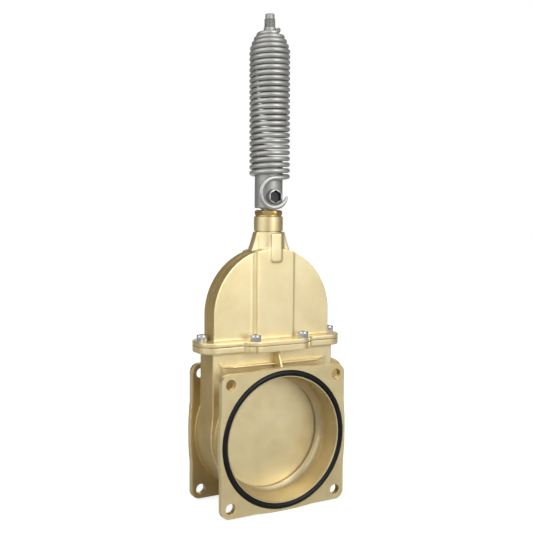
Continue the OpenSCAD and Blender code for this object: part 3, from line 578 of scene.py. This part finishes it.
def make_body():
    cast = flange(-JOIN, FLANGE_T)
    combine(cast, [
        flange(DEPTH - FLANGE_T, DEPTH + JOIN),
        disc(STUB_R, STUB_END, DEPTH - STUB_END, "Y", (0, 0, 0), BORE_STEPS),
        disc(BOSS_R, MID_Y - BOSS_T, MID_Y + BOSS_T, "Y", (CHAMBER_W, 0, BOSS_Z)),
        prism(joint_outline(), JOINT_Z, GASKET_Z + JOIN),
        chamber(),
    ], "UNION")
    soften(cast)
    # Painted shade on the flange backs, the stubs and the chamber's flanks.
    paint_shade_faces(cast)
    combine(cast, ribs_and_webs(), "UNION")
    top = GASKET_Z + PAST
    pocket = arc(0, 0, POCKET_R, 180, 360, ARCH_STEPS) + [(POCKET_R, top), (-POCKET_R, top)]
    cuts = flange_cuts(lambda d: d) + flange_cuts(lambda d: DEPTH - d) + [
        slab(GASKET_Z, GASKET_Z + SLAB_T),
        prism(pocket, MID_Y - GATE_HALF, MID_Y + GATE_HALF, "Y", MACHINED),
        box(-LUG_HALF, LUG_HALF, MID_Y - LUG_PATH_T, MID_Y + LUG_PATH_T, LUG_PATH_Z, top),
    ]
    for x, y in SCREWS:
        cuts.append(disc(TAPPED_R, JOINT_Z + TAPPED_FLOOR, top, "Z", (x, MID_Y + y, 0), 24, MACHINED))
    for cut in cuts:
        combine(cast, [cut], "DIFFERENCE")
    shade(cast, angle=35)
    stand_for(cast, "body_casting", "body", "valve")


make_body()

# The bonnet casting
ARCH_R, ARCH_Z, SIDE_T, WALL = 82.5, 152.5, 14.3, 6.5
MIDDLE_W, MIDDLE_T, MIDDLE_CUT, STEP_EDGE, STEP_FOOT = 26.7, 20.7, 30, 1.6, 4.8
NECK_R, NECK_TOP, NECK_STEP = 18.2, 274.2, 255.6
NECK_ROUGH, NECK_EDGE, NECK_CUT_R, NECK_CUT_UP = 0.7, 0.6, 40, 3
NECK_FACE_R, NECK_FACE_T = 60, 8
CONE_R, CONE_SINK = 20.5, 8
WEB_HALF, WEB_TOP_X, WEB_FOOT_X, WEB_SHIFT = 7.2, 19.4, 27.6, 1.4
WEB_CURVE, WEB_STEPS, WEB_EDGE = 1.3, 6, 2.6
TAB_HALF, TAB_FOOT, TAB_TOP, TAB_REACH, TAB_SINK, TAB_CORNER, TAB_EDGE = 7.4, 218.2, 253.7, 22, 4, 3, 1.5
UNDERCUT, UNDERCUT_R, UNDERCUT_LOW, UNDERCUT_HIGH = 1.7, 24, 0.6, 0.7
SEAM_H, SEAM_HALF = 0.3, 0.5
HOLLOW_T, LUG_HOLLOW_T, LUG_HOLLOW_DROP = 6.6, 15.7, 3
STEM_R, STEM_LOW, STEM_HIGH = 10.5, 243.5, 249.5
BUSH_R, BUSH_SINK, BUSH_TOP, BOX_FLOOR = 14, 10, 244.5, 247.5
CLEAR_R, CLEAR_UP = 4.5, 3


def arch(radius, foot, y0, y1, slot_index=CAST):
    outline = [(radius, foot)] + arc(0, ARCH_Z, radius, 0, 180, ARCH_STEPS) + [(-radius, foot)]
    return prism(outline, y0, y1, "Y", slot_index)


def middle_panels():
    """The raised panels down the middle, front and rear, with hollow feet and round edges."""
    half = (arc(MIDDLE_W + STEP_FOOT, -SIDE_T - STEP_FOOT, STEP_FOOT, 90, 180, 8)
            + arc(MIDDLE_W - STEP_EDGE, STEP_EDGE - MIDDLE_T, STEP_EDGE, 0, -90, 6)[1:])
    front = [(-x, y) for x, y in half] + list(reversed(half))
    outline = front + [(x, -y) for x, y in reversed(front)]
    panels = prism([(x, y + MID_Y) for x, y in outline], PANEL_Z - PAST, ARCH_Z + ARCH_R + PAST)
    limit = arch(ARCH_R, PANEL_Z - JOIN, MID_Y - MIDDLE_CUT, MID_Y + MIDDLE_CUT)
    return combine(panels, [limit], "INTERSECT")


def side_webs(foot):
    """The two webs that run from the arch up to the neck, on its left and right."""
    reach = []
    for i in range(WEB_STEPS + 1):
        bend = (1 - i / WEB_STEPS) ** WEB_CURVE
        reach.append((WEB_TOP_X + (WEB_FOOT_X + WEB_SHIFT - WEB_TOP_X) * bend,
                      foot + (NECK_STEP - foot) * i / WEB_STEPS))
    outline = [(x + WEB_SHIFT, z) for x, z in reach] + [(-x, z) for x, z in reversed(reach)]
    return bevel(prism(outline, MID_Y - WEB_HALF, MID_Y + WEB_HALF, "Y"), WEB_EDGE, segments=4, angle=40)


def neck_tab(side):
    """The upright tab on the neck's front or rear."""
    low, high = sorted((MID_Y + side * TAB_REACH, MID_Y + side * (NECK_R - TAB_SINK)))
    x, z = TAB_HALF - TAB_CORNER, TAB_FOOT + TAB_CORNER
    edge_x, edge_z = TAB_HALF - TAB_EDGE, TAB_TOP - TAB_EDGE
    outline = (arc(-x, z, TAB_CORNER, 180, 270, 5) + arc(x, z, TAB_CORNER, 270, 360, 5)
               + arc(edge_x, edge_z, TAB_EDGE, 0, 90, 4) + arc(-edge_x, edge_z, TAB_EDGE, 90, 180, 4))
    return prism(outline, low, high, "Y")


def bonnet_cuts():
    """The joint face, the turned neck and the hollows for gate, lug, stem, bush and packing."""
    hollow_r = ARCH_R - WALL
    foot = BONNET_Z - PAST
    ring = NECK_R - UNDERCUT
    cuts = [
        slab(BONNET_Z - SLAB_T, BONNET_Z),
        disc(NECK_FACE_R, NECK_TOP, NECK_TOP + NECK_FACE_T, steps=48, slot_index=MACHINED),
        lathe([(NECK_R, NECK_STEP), (NECK_CUT_R, NECK_STEP), (NECK_CUT_R, NECK_TOP + NECK_CUT_UP),
               (NECK_R - NECK_EDGE, NECK_TOP + NECK_CUT_UP), (NECK_R - NECK_EDGE, NECK_TOP),
               (NECK_R, NECK_TOP - NECK_EDGE)], TURNED_STEPS, slot_index=MACHINED),
        # The undercut groove at the neck's foot, its faces in the darker brass that paints shade there.
        lathe([(ring, NECK_STEP - UNDERCUT_LOW), (UNDERCUT_R, NECK_STEP - UNDERCUT_LOW),
               (UNDERCUT_R, NECK_STEP + UNDERCUT_HIGH), (ring, NECK_STEP + UNDERCUT_HIGH)],
              TURNED_STEPS, slot_index=BORE_SHADE),
        arch(hollow_r, foot, MID_Y - HOLLOW_T, MID_Y + HOLLOW_T, MACHINED),
        box(-LUG_HALF, LUG_HALF, MID_Y - LUG_HOLLOW_T, MID_Y + LUG_HOLLOW_T, foot,
            ARCH_Z + hollow_r - LUG_HOLLOW_DROP),
        disc(BUSH_R, ARCH_Z + hollow_r - BUSH_SINK, BUSH_TOP, slot_index=MACHINED),
        disc(STEM_R, STEM_LOW, STEM_HIGH, slot_index=MACHINED),
        disc(BUSH_R, BOX_FLOOR, NECK_TOP + JOIN, slot_index=MACHINED),
    ]
    for x, y in SCREWS:
        cuts.append(disc(CLEAR_R, BONNET_Z - JOIN, PANEL_Z + CLEAR_UP, "Z", (x, MID_Y + y, 0), 32, MACHINED))
    return cuts


def make_bonnet():
    cast = arch(ARCH_R, PANEL_Z - PAST, MID_Y - SIDE_T, MID_Y + SIDE_T)
    cone_z = ARCH_Z + ARCH_R - CONE_SINK
    rough_r = NECK_R + NECK_ROUGH
    combine(cast, [
        prism(joint_outline(), BONNET_Z - JOIN, PANEL_Z),
        middle_panels(),
        lathe([(0, cone_z), (CONE_R, cone_z), (rough_r, NECK_STEP), (rough_r, NECK_TOP + JOIN),
               (0, NECK_TOP + JOIN)]),
        side_webs(cone_z),
        neck_tab(-1),
        neck_tab(1),
    ], "UNION")
    soften(cast)
    # Painted shade: the arch's curved rim above the joint takes the darker brass.
    for p in cast.data.polygons:
        x, y, z = p.center / MM
        reach = math.hypot(x, z - ARCH_Z) if z > ARCH_Z else abs(x)
        on_rim = abs(reach - ARCH_R) < SHADE_RIM and abs(y - MID_Y) < SIDE_T - SHADE_RIM
        if on_rim and z > PANEL_Z + SHADE_RIM:
            p.material_index = PAINTED_SHADE
    # The parting seam round the arch, in the same darker brass as the painted shade on the rim.
    seam = arch(ARCH_R + SEAM_H, PANEL_Z + JOIN, MID_Y - SEAM_HALF, MID_Y + SEAM_HALF, PAINTED_SHADE)
    combine(cast, [seam], "UNION")
    for cut in bonnet_cuts():
        combine(cast, [cut], "DIFFERENCE")
    shade(cast, angle=35)
    stand_for(cast, "bonnet_casting", "bonnet", "valve")


make_bonnet()

# The six cap screws
HEAD_R, HEAD_H, SOCKET_AF, SOCKET_DEEP = 6.5, 8, 6, 4
HEAD_FOOT_EDGE, HEAD_TOP_EDGE = [(0, -0.4), (0.4, 0)], [(-0.9, 0), (-0.35, -0.3), (0, -0.8)]
KNURLS, KNURL_DEEP, KNURL_MIDDLE = 36, 0.22, 0.5
SHANK_R, SHANK_TIP_R, SHANK_EDGE = 4, 3.4, 0.6
ON_RIM_M = 1e-6


def cap_head(low, centre):
    """A socket cap head with a knurled side and soft edges."""
    top = low + HEAD_H
    steps = KNURLS * 2
    side = edge(HEAD_R, low, HEAD_FOOT_EDGE) + [(HEAD_R, low + HEAD_H * KNURL_MIDDLE)]
    head = lathe([(0, low)] + side + edge(HEAD_R, top, HEAD_TOP_EDGE) + [(0, top)], steps, "Z", centre)
    bm = bmesh.new()
    bm.from_mesh(head.data)
    middle = Vector(centre) * MM
    for v in bm.verts:
        flat = Vector((v.co.x - middle.x, v.co.y - middle.y, 0))
        step = round(math.atan2(flat.y, flat.x) / (2 * math.pi) * steps)
        if abs(flat.length - HEAD_R * MM) < ON_RIM_M and step % 2:
            v.co -= flat.normalized() * KNURL_DEEP * MM
    bm.to_mesh(head.data)
    bm.free()
    return combine(head, [hexagon(SOCKET_AF, top - SOCKET_DEEP, top + JOIN, centre)], "DIFFERENCE")


def make_screws():
    foot, top = JOINT_Z + JOIN, PANEL_Z + JOIN
    profile = [(0, foot), (SHANK_TIP_R, foot), (SHANK_R, foot + SHANK_EDGE), (SHANK_R, top), (0, top)]
    screws = None
    for x, y in SCREWS:
        centre = (x, MID_Y + y, 0)
        head = cap_head(PANEL_Z, centre)
        shank = lathe(profile, 32, "Z", centre)
        combine(head, [shank], "UNION")
        screws = combine(screws, [head], "UNION") if screws else head
    # The sockets' cut faces take the dark steel that paints the shade in them.
    recolour(screws, screw_steel, socket_shade_steel)
    shade(screws, angle=30)
    stand_for(screws, "cap_screws", "bonnet_screws", "valve")


make_screws()

# The cross bolt
BLOCK_TURN = -6.5
STEM_AXIS = Vector((0, MID_Y, 0))
BOLT_Z, BOLT_R, BOLT_TIP_R, BOLT_TIP, BOLT_TIP_EDGE = 299, 5, 4.4, 15, 0.6
BOLT_HEAD_R, BOLT_SEAT, BOLT_HEAD_T, BOLT_HEAD_EDGE = 9, 14, 8.5, [(-0.9, 0), (-0.3, -0.25), (0, -0.8)]
BOLT_SOCKET_AF, BOLT_SOCKET_DEEP, BOLT_SOCKET_TURN = 14, 5, 30


def on_block(obj):
    """Turns a piece about the stem's axis, as the block is turned."""
    there, back = Matrix.Translation(STEM_AXIS * MM), Matrix.Translation(-STEM_AXIS * MM)
    obj.data.transform(there @ Matrix.Rotation(math.radians(BLOCK_TURN), 4, "Z") @ back)
    return obj


def make_hook_bolt():
    face = BOLT_SEAT + BOLT_HEAD_T
    shank = [(0, -BOLT_TIP), (BOLT_TIP_R, -BOLT_TIP), (BOLT_R, BOLT_TIP_EDGE - BOLT_TIP), (BOLT_R, BOLT_SEAT)]
    head = [(BOLT_HEAD_R, BOLT_SEAT)] + edge(BOLT_HEAD_R, face, BOLT_HEAD_EDGE) + [(0, face)]
    bolt = lathe(shank + head, centre=(0, 0, 0))
    socket = hexagon(BOLT_SOCKET_AF, face - BOLT_SOCKET_DEEP, face + JOIN, (0, 0, 0), BOLT_SOCKET_TURN)
    combine(bolt, [socket], "DIFFERENCE")
    place = Matrix.Translation(Vector((0, MID_Y, BOLT_Z)) * MM)
    bolt.data.transform(place @ Matrix.Rotation(math.pi / 2, 4, "X"))
    on_block(bolt)
    # The socket's cut faces take the dark steel that paints the shade in it.
    recolour(bolt, bolt_steel, socket_shade_steel)
    shade(bolt, angle=30)
    stand_for(bolt, "cross_bolt", "hook_bolt", "stem")


make_hook_bolt()

# The gland nut
NUT_AF, NUT_FOOT, NUT_TOP, NUT_TURN, NUT_SIDE_EDGE = 30, 275.4, 282.3, 35.6, 0.35
NUT_FLAT, NUT_LOW_EDGE, NUT_HIGH_EDGE, NUT_SHOULDER_X, NUT_SHOULDER_Z = 0.4, 1.2, 1.7, 1.0, 0.8
GLAND_FOOT, GLAND_R, COLLAR_WIDE, COLLAR_SINK = 264, 13.9, 16.5, 0.5
NUT_BORE_R, WIPER_R, WIPER_LOW, WIPER_HIGH = 9.06, 11.4, 5.0, 2.3


def make_gland_nut():
    corner = NUT_AF / 2 / math.cos(math.pi / 6)
    flat = NUT_AF / 2 - NUT_FLAT
    collar_top = NUT_FOOT + COLLAR_SINK
    nut = hexagon(NUT_AF, NUT_FOOT, NUT_TOP, (0, MID_Y, 0), NUT_TURN)
    turned = lathe([(0, NUT_FOOT), (flat, NUT_FOOT), (corner, NUT_FOOT + NUT_LOW_EDGE),
                    (corner, NUT_TOP - NUT_HIGH_EDGE), (corner - NUT_SHOULDER_X, NUT_TOP - NUT_SHOULDER_Z),
                    (flat, NUT_TOP), (0, NUT_TOP)], slot_index=MACHINED)
    combine(nut, [turned], "INTERSECT")
    gland = lathe([(0, GLAND_FOOT), (GLAND_R, GLAND_FOOT), (GLAND_R, NECK_TOP), (COLLAR_WIDE, NECK_TOP),
                   (COLLAR_WIDE, collar_top), (0, collar_top)], slot_index=MACHINED)
    combine(nut, [gland], "UNION")
    combine(nut, [disc(NUT_BORE_R, GLAND_FOOT - JOIN, NUT_TOP + JOIN, slot_index=MACHINED),
                  disc(WIPER_R, NUT_TOP - WIPER_LOW, NUT_TOP - WIPER_HIGH, slot_index=MACHINED)],
            "DIFFERENCE")
    recolour(nut, dull_brass, dull_brass)
    bevel(nut, NUT_SIDE_EDGE, segments=3, angle=35)
    shade(nut, angle=30)
    stand_for(nut, "gland_nut_hexagon", "gland_nut", "valve")


make_gland_nut()

# The spring
WIRE_R, WIRE_SIDES, WIRE_END = 3.0, 18, 0.5
TIP_THIN, TIP_STEPS, TIP_CURVE = 0.36, 7, 0.8
HOOK_R, HOOK_Z, HOOK_SWEEP, HOOK_TAPER, HOOK_PLANE, HOOK_SHIFT = 18.6, 303.4, 256, 0.08, 20.8, 1.2
HOOK_STEPS, LEAD_STEPS, COIL_STEPS, TAIL_STEPS = 48, 12, 48, 8
LEAD_WIDEN = 1.5
COIL_R, COIL_COUNT, CONE_COUNT, CONE_END_R, CONE_START = 22.5, 22, 3.75, 12.7, 0.62
FOOT_PITCH, TOP_PITCH, END_PITCH, COIL_FOOT = 7.48, 6.52, 4.7, 324.8
CONE_FOOT = COIL_FOOT + COIL_COUNT * (FOOT_PITCH + TOP_PITCH) / 2
LEAN_FOOT, LEAN_TOP = 1.2, 0.2
TAIL_TURNS, TAIL_RISE, TAIL_CLOSE = 0.125, 4.4, 1.2


def coil_radius(t):
    """Radius of the wire's path after t turns, in the coils and the cone."""
    if t < COIL_COUNT:
        return COIL_R
    u = (t - COIL_COUNT) / CONE_COUNT
    return COIL_R - (COIL_R - CONE_END_R) * (CONE_START * u + (1 - CONE_START) * u * u)


def coil_height(t):
    """Height of the wire's path after t turns, from pitches that fall evenly."""
    if t < COIL_COUNT:
        return COIL_FOOT + FOOT_PITCH * t - (FOOT_PITCH - TOP_PITCH) * t * t / (2 * COIL_COUNT)
    u = t - COIL_COUNT
    return CONE_FOOT + TOP_PITCH * u - (TOP_PITCH - END_PITCH) * u * u / (2 * CONE_COUNT)


def lean(z):
    return LEAN_FOOT + (LEAN_TOP - LEAN_FOOT) * (z - COIL_FOOT) / (CONE_FOOT - COIL_FOOT)


def hook_path():
    """The open hook in its upright plane, from its free tip."""
    path = []
    for i in range(HOOK_STEPS + 1):
        left = 1 - i / HOOK_STEPS
        a = math.radians(HOOK_SWEEP * left)
        r = HOOK_R * (1 - HOOK_TAPER * left ** 2)
        path.append((-r * math.sin(a) - HOOK_SHIFT * math.sin(a / 2) ** 2, -HOOK_PLANE,
                     HOOK_Z + r * math.cos(a)))
    return path


def lead_path():
    """A quarter turn that climbs from the hook's top to the first coil."""
    path = []
    start_z = HOOK_Z + HOOK_R
    for i in range(1, LEAD_STEPS + 1):
        s = i / LEAD_STEPS
        rise = s * s * (3 - 2 * s)
        wide = min(1.0, LEAD_WIDEN * s)
        r = HOOK_PLANE + (COIL_R - HOOK_PLANE) * wide
        a = math.pi / 2 * s
        path.append((r * math.sin(a) + LEAN_FOOT * wide, -r * math.cos(a),
                     start_z + (COIL_FOOT - start_z) * rise))
    return path


def coil_path():
    """The coils, the cone, and the tail that rises and closes on the stud."""
    path = []
    for i in range(1, round(COIL_STEPS * (COIL_COUNT + CONE_COUNT)) + 1):
        t = i / COIL_STEPS
        r, z, a = coil_radius(t), coil_height(t), 2 * math.pi * t
        path.append((r * math.cos(a) + lean(z), r * math.sin(a), z))
    for i in range(1, TAIL_STEPS + 1):
        s = i / TAIL_STEPS
        t = COIL_COUNT + CONE_COUNT + TAIL_TURNS * s
        r, z, a = CONE_END_R - TAIL_CLOSE * s, coil_height(t) + TAIL_RISE * s * s, 2 * math.pi * t
        path.append((r * math.cos(a) + lean(z), r * math.sin(a), z))
    return path


def wire_rings():
    """Rings of points round the wire's path, kept from twisting as it bends."""
    path = [Vector(p) + STEM_AXIS for p in hook_path() + lead_path() + coil_path()]
    last = len(path) - 1
    side = (path[1] - path[0]).normalized().orthogonal().normalized()
    rings = []
    for i, p in enumerate(path):
        heading = (path[min(i + 1, last)] - path[max(i - 1, 0)]).normalized()
        side = (side - heading * side.dot(heading)).normalized()
        up = side.cross(heading)
        radius = WIRE_R * min(1.0, TIP_THIN + (1 - TIP_THIN) * (i / TIP_STEPS) ** TIP_CURVE)
        if i == last:
            radius = WIRE_R - WIRE_END
        turns = [2 * math.pi * k / WIRE_SIDES for k in range(WIRE_SIDES)]
        rings.append([p + side * radius * math.cos(a) + up * radius * math.sin(a) for a in turns])
    return rings


def make_spring():
    spring = tube("spring_wire", wire_rings())
    on_block(spring)
    paint(spring, spring_steel)
    shade(spring, angle=50)
    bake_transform(spring)
    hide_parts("spring")


make_spring()

# The stud
STUD_R, TIP_R, COLLAR_R, COLLAR_EDGE = 7.0, 5.7, 7.7, 0.4
STUD_FOOT, COLLAR_FOOT, COLLAR_TOP, THREAD_TOP, STUD_TOP = 474, 496.4, 507.4, 518.3, 524.4
THREAD_PITCH, THREAD_DEEP, THREAD_FLAT, THREAD_FLANK, THREAD_ROWS = 2.0, 1.1, 1.25, 3.2, 8
STUD_STEPS = 48
FOOT_EDGE, TIP_EDGE = [(0, -1.4), (0.2, -1.2), (1, 0)], [(-0.8, 0), (-0.2, -0.5), (0, -1.1)]
# Where the rows of the two threads start and end, then the step above the collar and the thread's last edge.
LOWER_THREAD, UPPER_THREAD = (STUD_FOOT + 1.2, COLLAR_FOOT - 0.5), (COLLAR_TOP + 0.2, THREAD_TOP - 0.7)
ABOVE_COLLAR, THREAD_END = 0.6, [(-0.6, -0.3)]


def thread_rows(low, high):
    """Rows of the cut thread, which have no radius of their own."""
    rows = []
    z = low
    while z < high:
        rows.append((None, z))
        z += THREAD_PITCH / THREAD_ROWS
    return rows


def thread_radius(z, turn):
    """Radius of the thread at a height and a share of a turn."""
    phase = (z / THREAD_PITCH - turn) % 1.0
    return STUD_R - THREAD_DEEP * min(1.0, max(0.0, THREAD_FLAT - abs(phase - 0.5) * THREAD_FLANK))


def make_stud():
    """The stud with a cut thread, as one grid of radius over angle and height."""
    rows = edge(STUD_R, STUD_FOOT, FOOT_EDGE) + thread_rows(*LOWER_THREAD)
    rows += [(STUD_R, COLLAR_FOOT), (COLLAR_R, COLLAR_FOOT), (COLLAR_R, COLLAR_TOP - COLLAR_EDGE),
             (COLLAR_R - COLLAR_EDGE, COLLAR_TOP), (STUD_R - ABOVE_COLLAR, COLLAR_TOP)]
    rows += thread_rows(*UPPER_THREAD) + edge(STUD_R, THREAD_TOP, THREAD_END)
    rows += [(TIP_R, THREAD_TOP)] + edge(TIP_R, STUD_TOP, TIP_EDGE)
    rings = []
    for radius, z in rows:
        ring = []
        for k in range(STUD_STEPS):
            r = thread_radius(z, k / STUD_STEPS) if radius is None else radius
            a = 2 * math.pi * k / STUD_STEPS
            ring.append(Vector((r * math.cos(a), r * math.sin(a), z)) + STEM_AXIS)
        rings.append(ring)
    stud = tube("threaded_stud", rings)
    on_block(stud)
    paint(stud, steel)
    shade(stud, angle=40)
    stand_for(stud, "threaded_stud", "stud", "stud")


make_stud()

# The floor, in metres
FLOOR_HALF, FLOOR_GREY, FLOOR_GLOW = 6.0, 0.5, 0.78
BEHIND, BEHIND_NEAR, BEHIND_FAR = (0.5, 1.05, -0.09), 0.5, 0.8
WHITE = (1, 1, 1, 1)


def floor_material():
    """The camera sees the floor white, and the metal sees it so where it lies behind the object."""
    mat = bpy.data.materials.new("floor")
    mat.use_nodes = True
    tree = mat.node_tree
    tree.nodes.clear()
    out = tree.nodes.new("ShaderNodeOutputMaterial")
    diffuse = tree.nodes.new("ShaderNodeBsdfDiffuse")
    diffuse.inputs["Color"].default_value = (FLOOR_GREY, FLOOR_GREY, FLOOR_GREY, 1)
    glow = tree.nodes.new("ShaderNodeEmission")
    glow.inputs["Color"].default_value = WHITE
    glow.inputs["Strength"].default_value = FLOOR_GLOW
    bright = tree.nodes.new("ShaderNodeAddShader")
    tree.links.new(diffuse.outputs[0], bright.inputs[0])
    tree.links.new(glow.outputs[0], bright.inputs[1])
    coord = tree.nodes.new("ShaderNodeTexCoord")
    away = vector_measure(tree, "DISTANCE", coord.outputs["Object"], BEHIND)
    near = map_range(tree, away, BEHIND_NEAR, BEHIND_FAR, 1, 0)
    path = tree.nodes.new("ShaderNodeLightPath")
    shine = calculate(tree, "MULTIPLY", path.outputs["Is Glossy Ray"], near)
    shown = calculate(tree, "MAXIMUM", path.outputs["Is Camera Ray"], shine)
    show_mix(tree, shown, diffuse, bright, out)
    return mat


def make_floor():
    low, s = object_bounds()[0][2], FLOOR_HALF
    mesh = bpy.data.meshes.new("floor")
    mesh.from_pydata([(-s, -s, low), (s, -s, low), (s, s, low), (-s, s, low)], [], [[0, 1, 2, 3]])
    mesh.materials.append(floor_material())
    floor = bpy.data.objects.new("floor", mesh)
    scene.collection.objects.link(floor)


make_floor()

# The world
# The room's light round the object: the angle from the camera's side, positive to its right, and the colour.
# Two tall soft boxes leave a dark gap between them, where the camera stands. The walls beside them are dim.
ROOM = [(-180, (0.3, 0.28, 0.25)), (-150, (0.16, 0.14, 0.11)), (-115, (0.04, 0.035, 0.03)),
        (-94, (0.25, 0.23, 0.2)), (-78, (1.25, 1.24, 1.2)), (-60, (1.85, 1.85, 1.85)),
        (-28, (1.75, 1.75, 1.75)), (-13, (0.3, 0.3, 0.3)), (9, (0.25, 0.25, 0.25)), (25, (1.9, 1.9, 1.9)),
        (48, (2.05, 2.05, 2.05)), (64, (1.5, 1.5, 1.5)), (82, (0.65, 0.63, 0.6)), (98, (0.12, 0.11, 0.09)),
        (150, (0.16, 0.14, 0.11)), (180, (0.3, 0.28, 0.25))]
# The white backdrop behind the object, as wide as the camera sees it.
BACKDROP_WIDE, BACKDROP_SOFT = 17.0, 7.0


def make_world():
    """The camera sees the background white, and so do metal and glass where it stands behind the object."""
    world = bpy.data.worlds.new("studio")
    scene.world = world
    world.use_nodes = True
    tree = world.node_tree
    tree.nodes.clear()
    out = tree.nodes.new("ShaderNodeOutputWorld")
    direction = tree.nodes.new("ShaderNodeTexCoord").outputs["Generated"]
    yaw = math.radians(YAW)
    front = (math.sin(yaw), -math.cos(yaw), 0.0)
    right = (math.cos(yaw), math.sin(yaw), 0.0)
    angle = calculate(tree, "ARCTAN2", vector_measure(tree, "DOT_PRODUCT", direction, right),
                      vector_measure(tree, "DOT_PRODUCT", direction, front))
    place = calculate(tree, "MULTIPLY_ADD", angle, 0.5 / math.pi, 0.5)
    stops = [(degrees / 360 + 0.5, colour) for degrees, colour in ROOM]
    room = tree.nodes.new("ShaderNodeBackground")
    tree.links.new(colour_ramp(tree, place, stops, "EASE"), room.inputs["Color"])
    white = tree.nodes.new("ShaderNodeBackground")
    white.inputs["Color"].default_value = WHITE
    white.inputs["Strength"].default_value = 1.0
    rear = vector_measure(tree, "DOT_PRODUCT", direction, tuple(-v for v in front))
    edge, inner = (math.cos(math.radians(a)) for a in (BACKDROP_WIDE + BACKDROP_SOFT, BACKDROP_WIDE))
    behind = map_range(tree, rear, edge, inner, 0, 1, "SMOOTHSTEP")
    path = tree.nodes.new("ShaderNodeLightPath")
    through = calculate(tree, "MAXIMUM", path.outputs["Is Glossy Ray"], path.outputs["Is Transmission Ray"])
    shine = calculate(tree, "MULTIPLY", through, behind)
    shown = calculate(tree, "MAXIMUM", path.outputs["Is Camera Ray"], shine)
    show_mix(tree, shown, room, white, out)


make_world()

# The lamps, in metres and watts
LAMP_AIM = Vector((0, 0.045, 0.2))


def lamp(name, place, size, power):
    data = bpy.data.lights.new(name, "AREA")
    data.shape = "DISK"
    data.size = size
    data.energy = power
    obj = bpy.data.objects.new(name, data)
    obj.location = place
    obj.rotation_euler = (LAMP_AIM - Vector(place)).to_track_quat("-Z", "Y").to_euler()
    scene.collection.objects.link(obj)


lamp("key", place=(-1.3, -1.6, 0.9), size=0.7, power=2)
lamp("front", place=(0.35, -1.9, 0.9), size=0.8, power=7)

scene.view_settings.view_transform = "Standard"
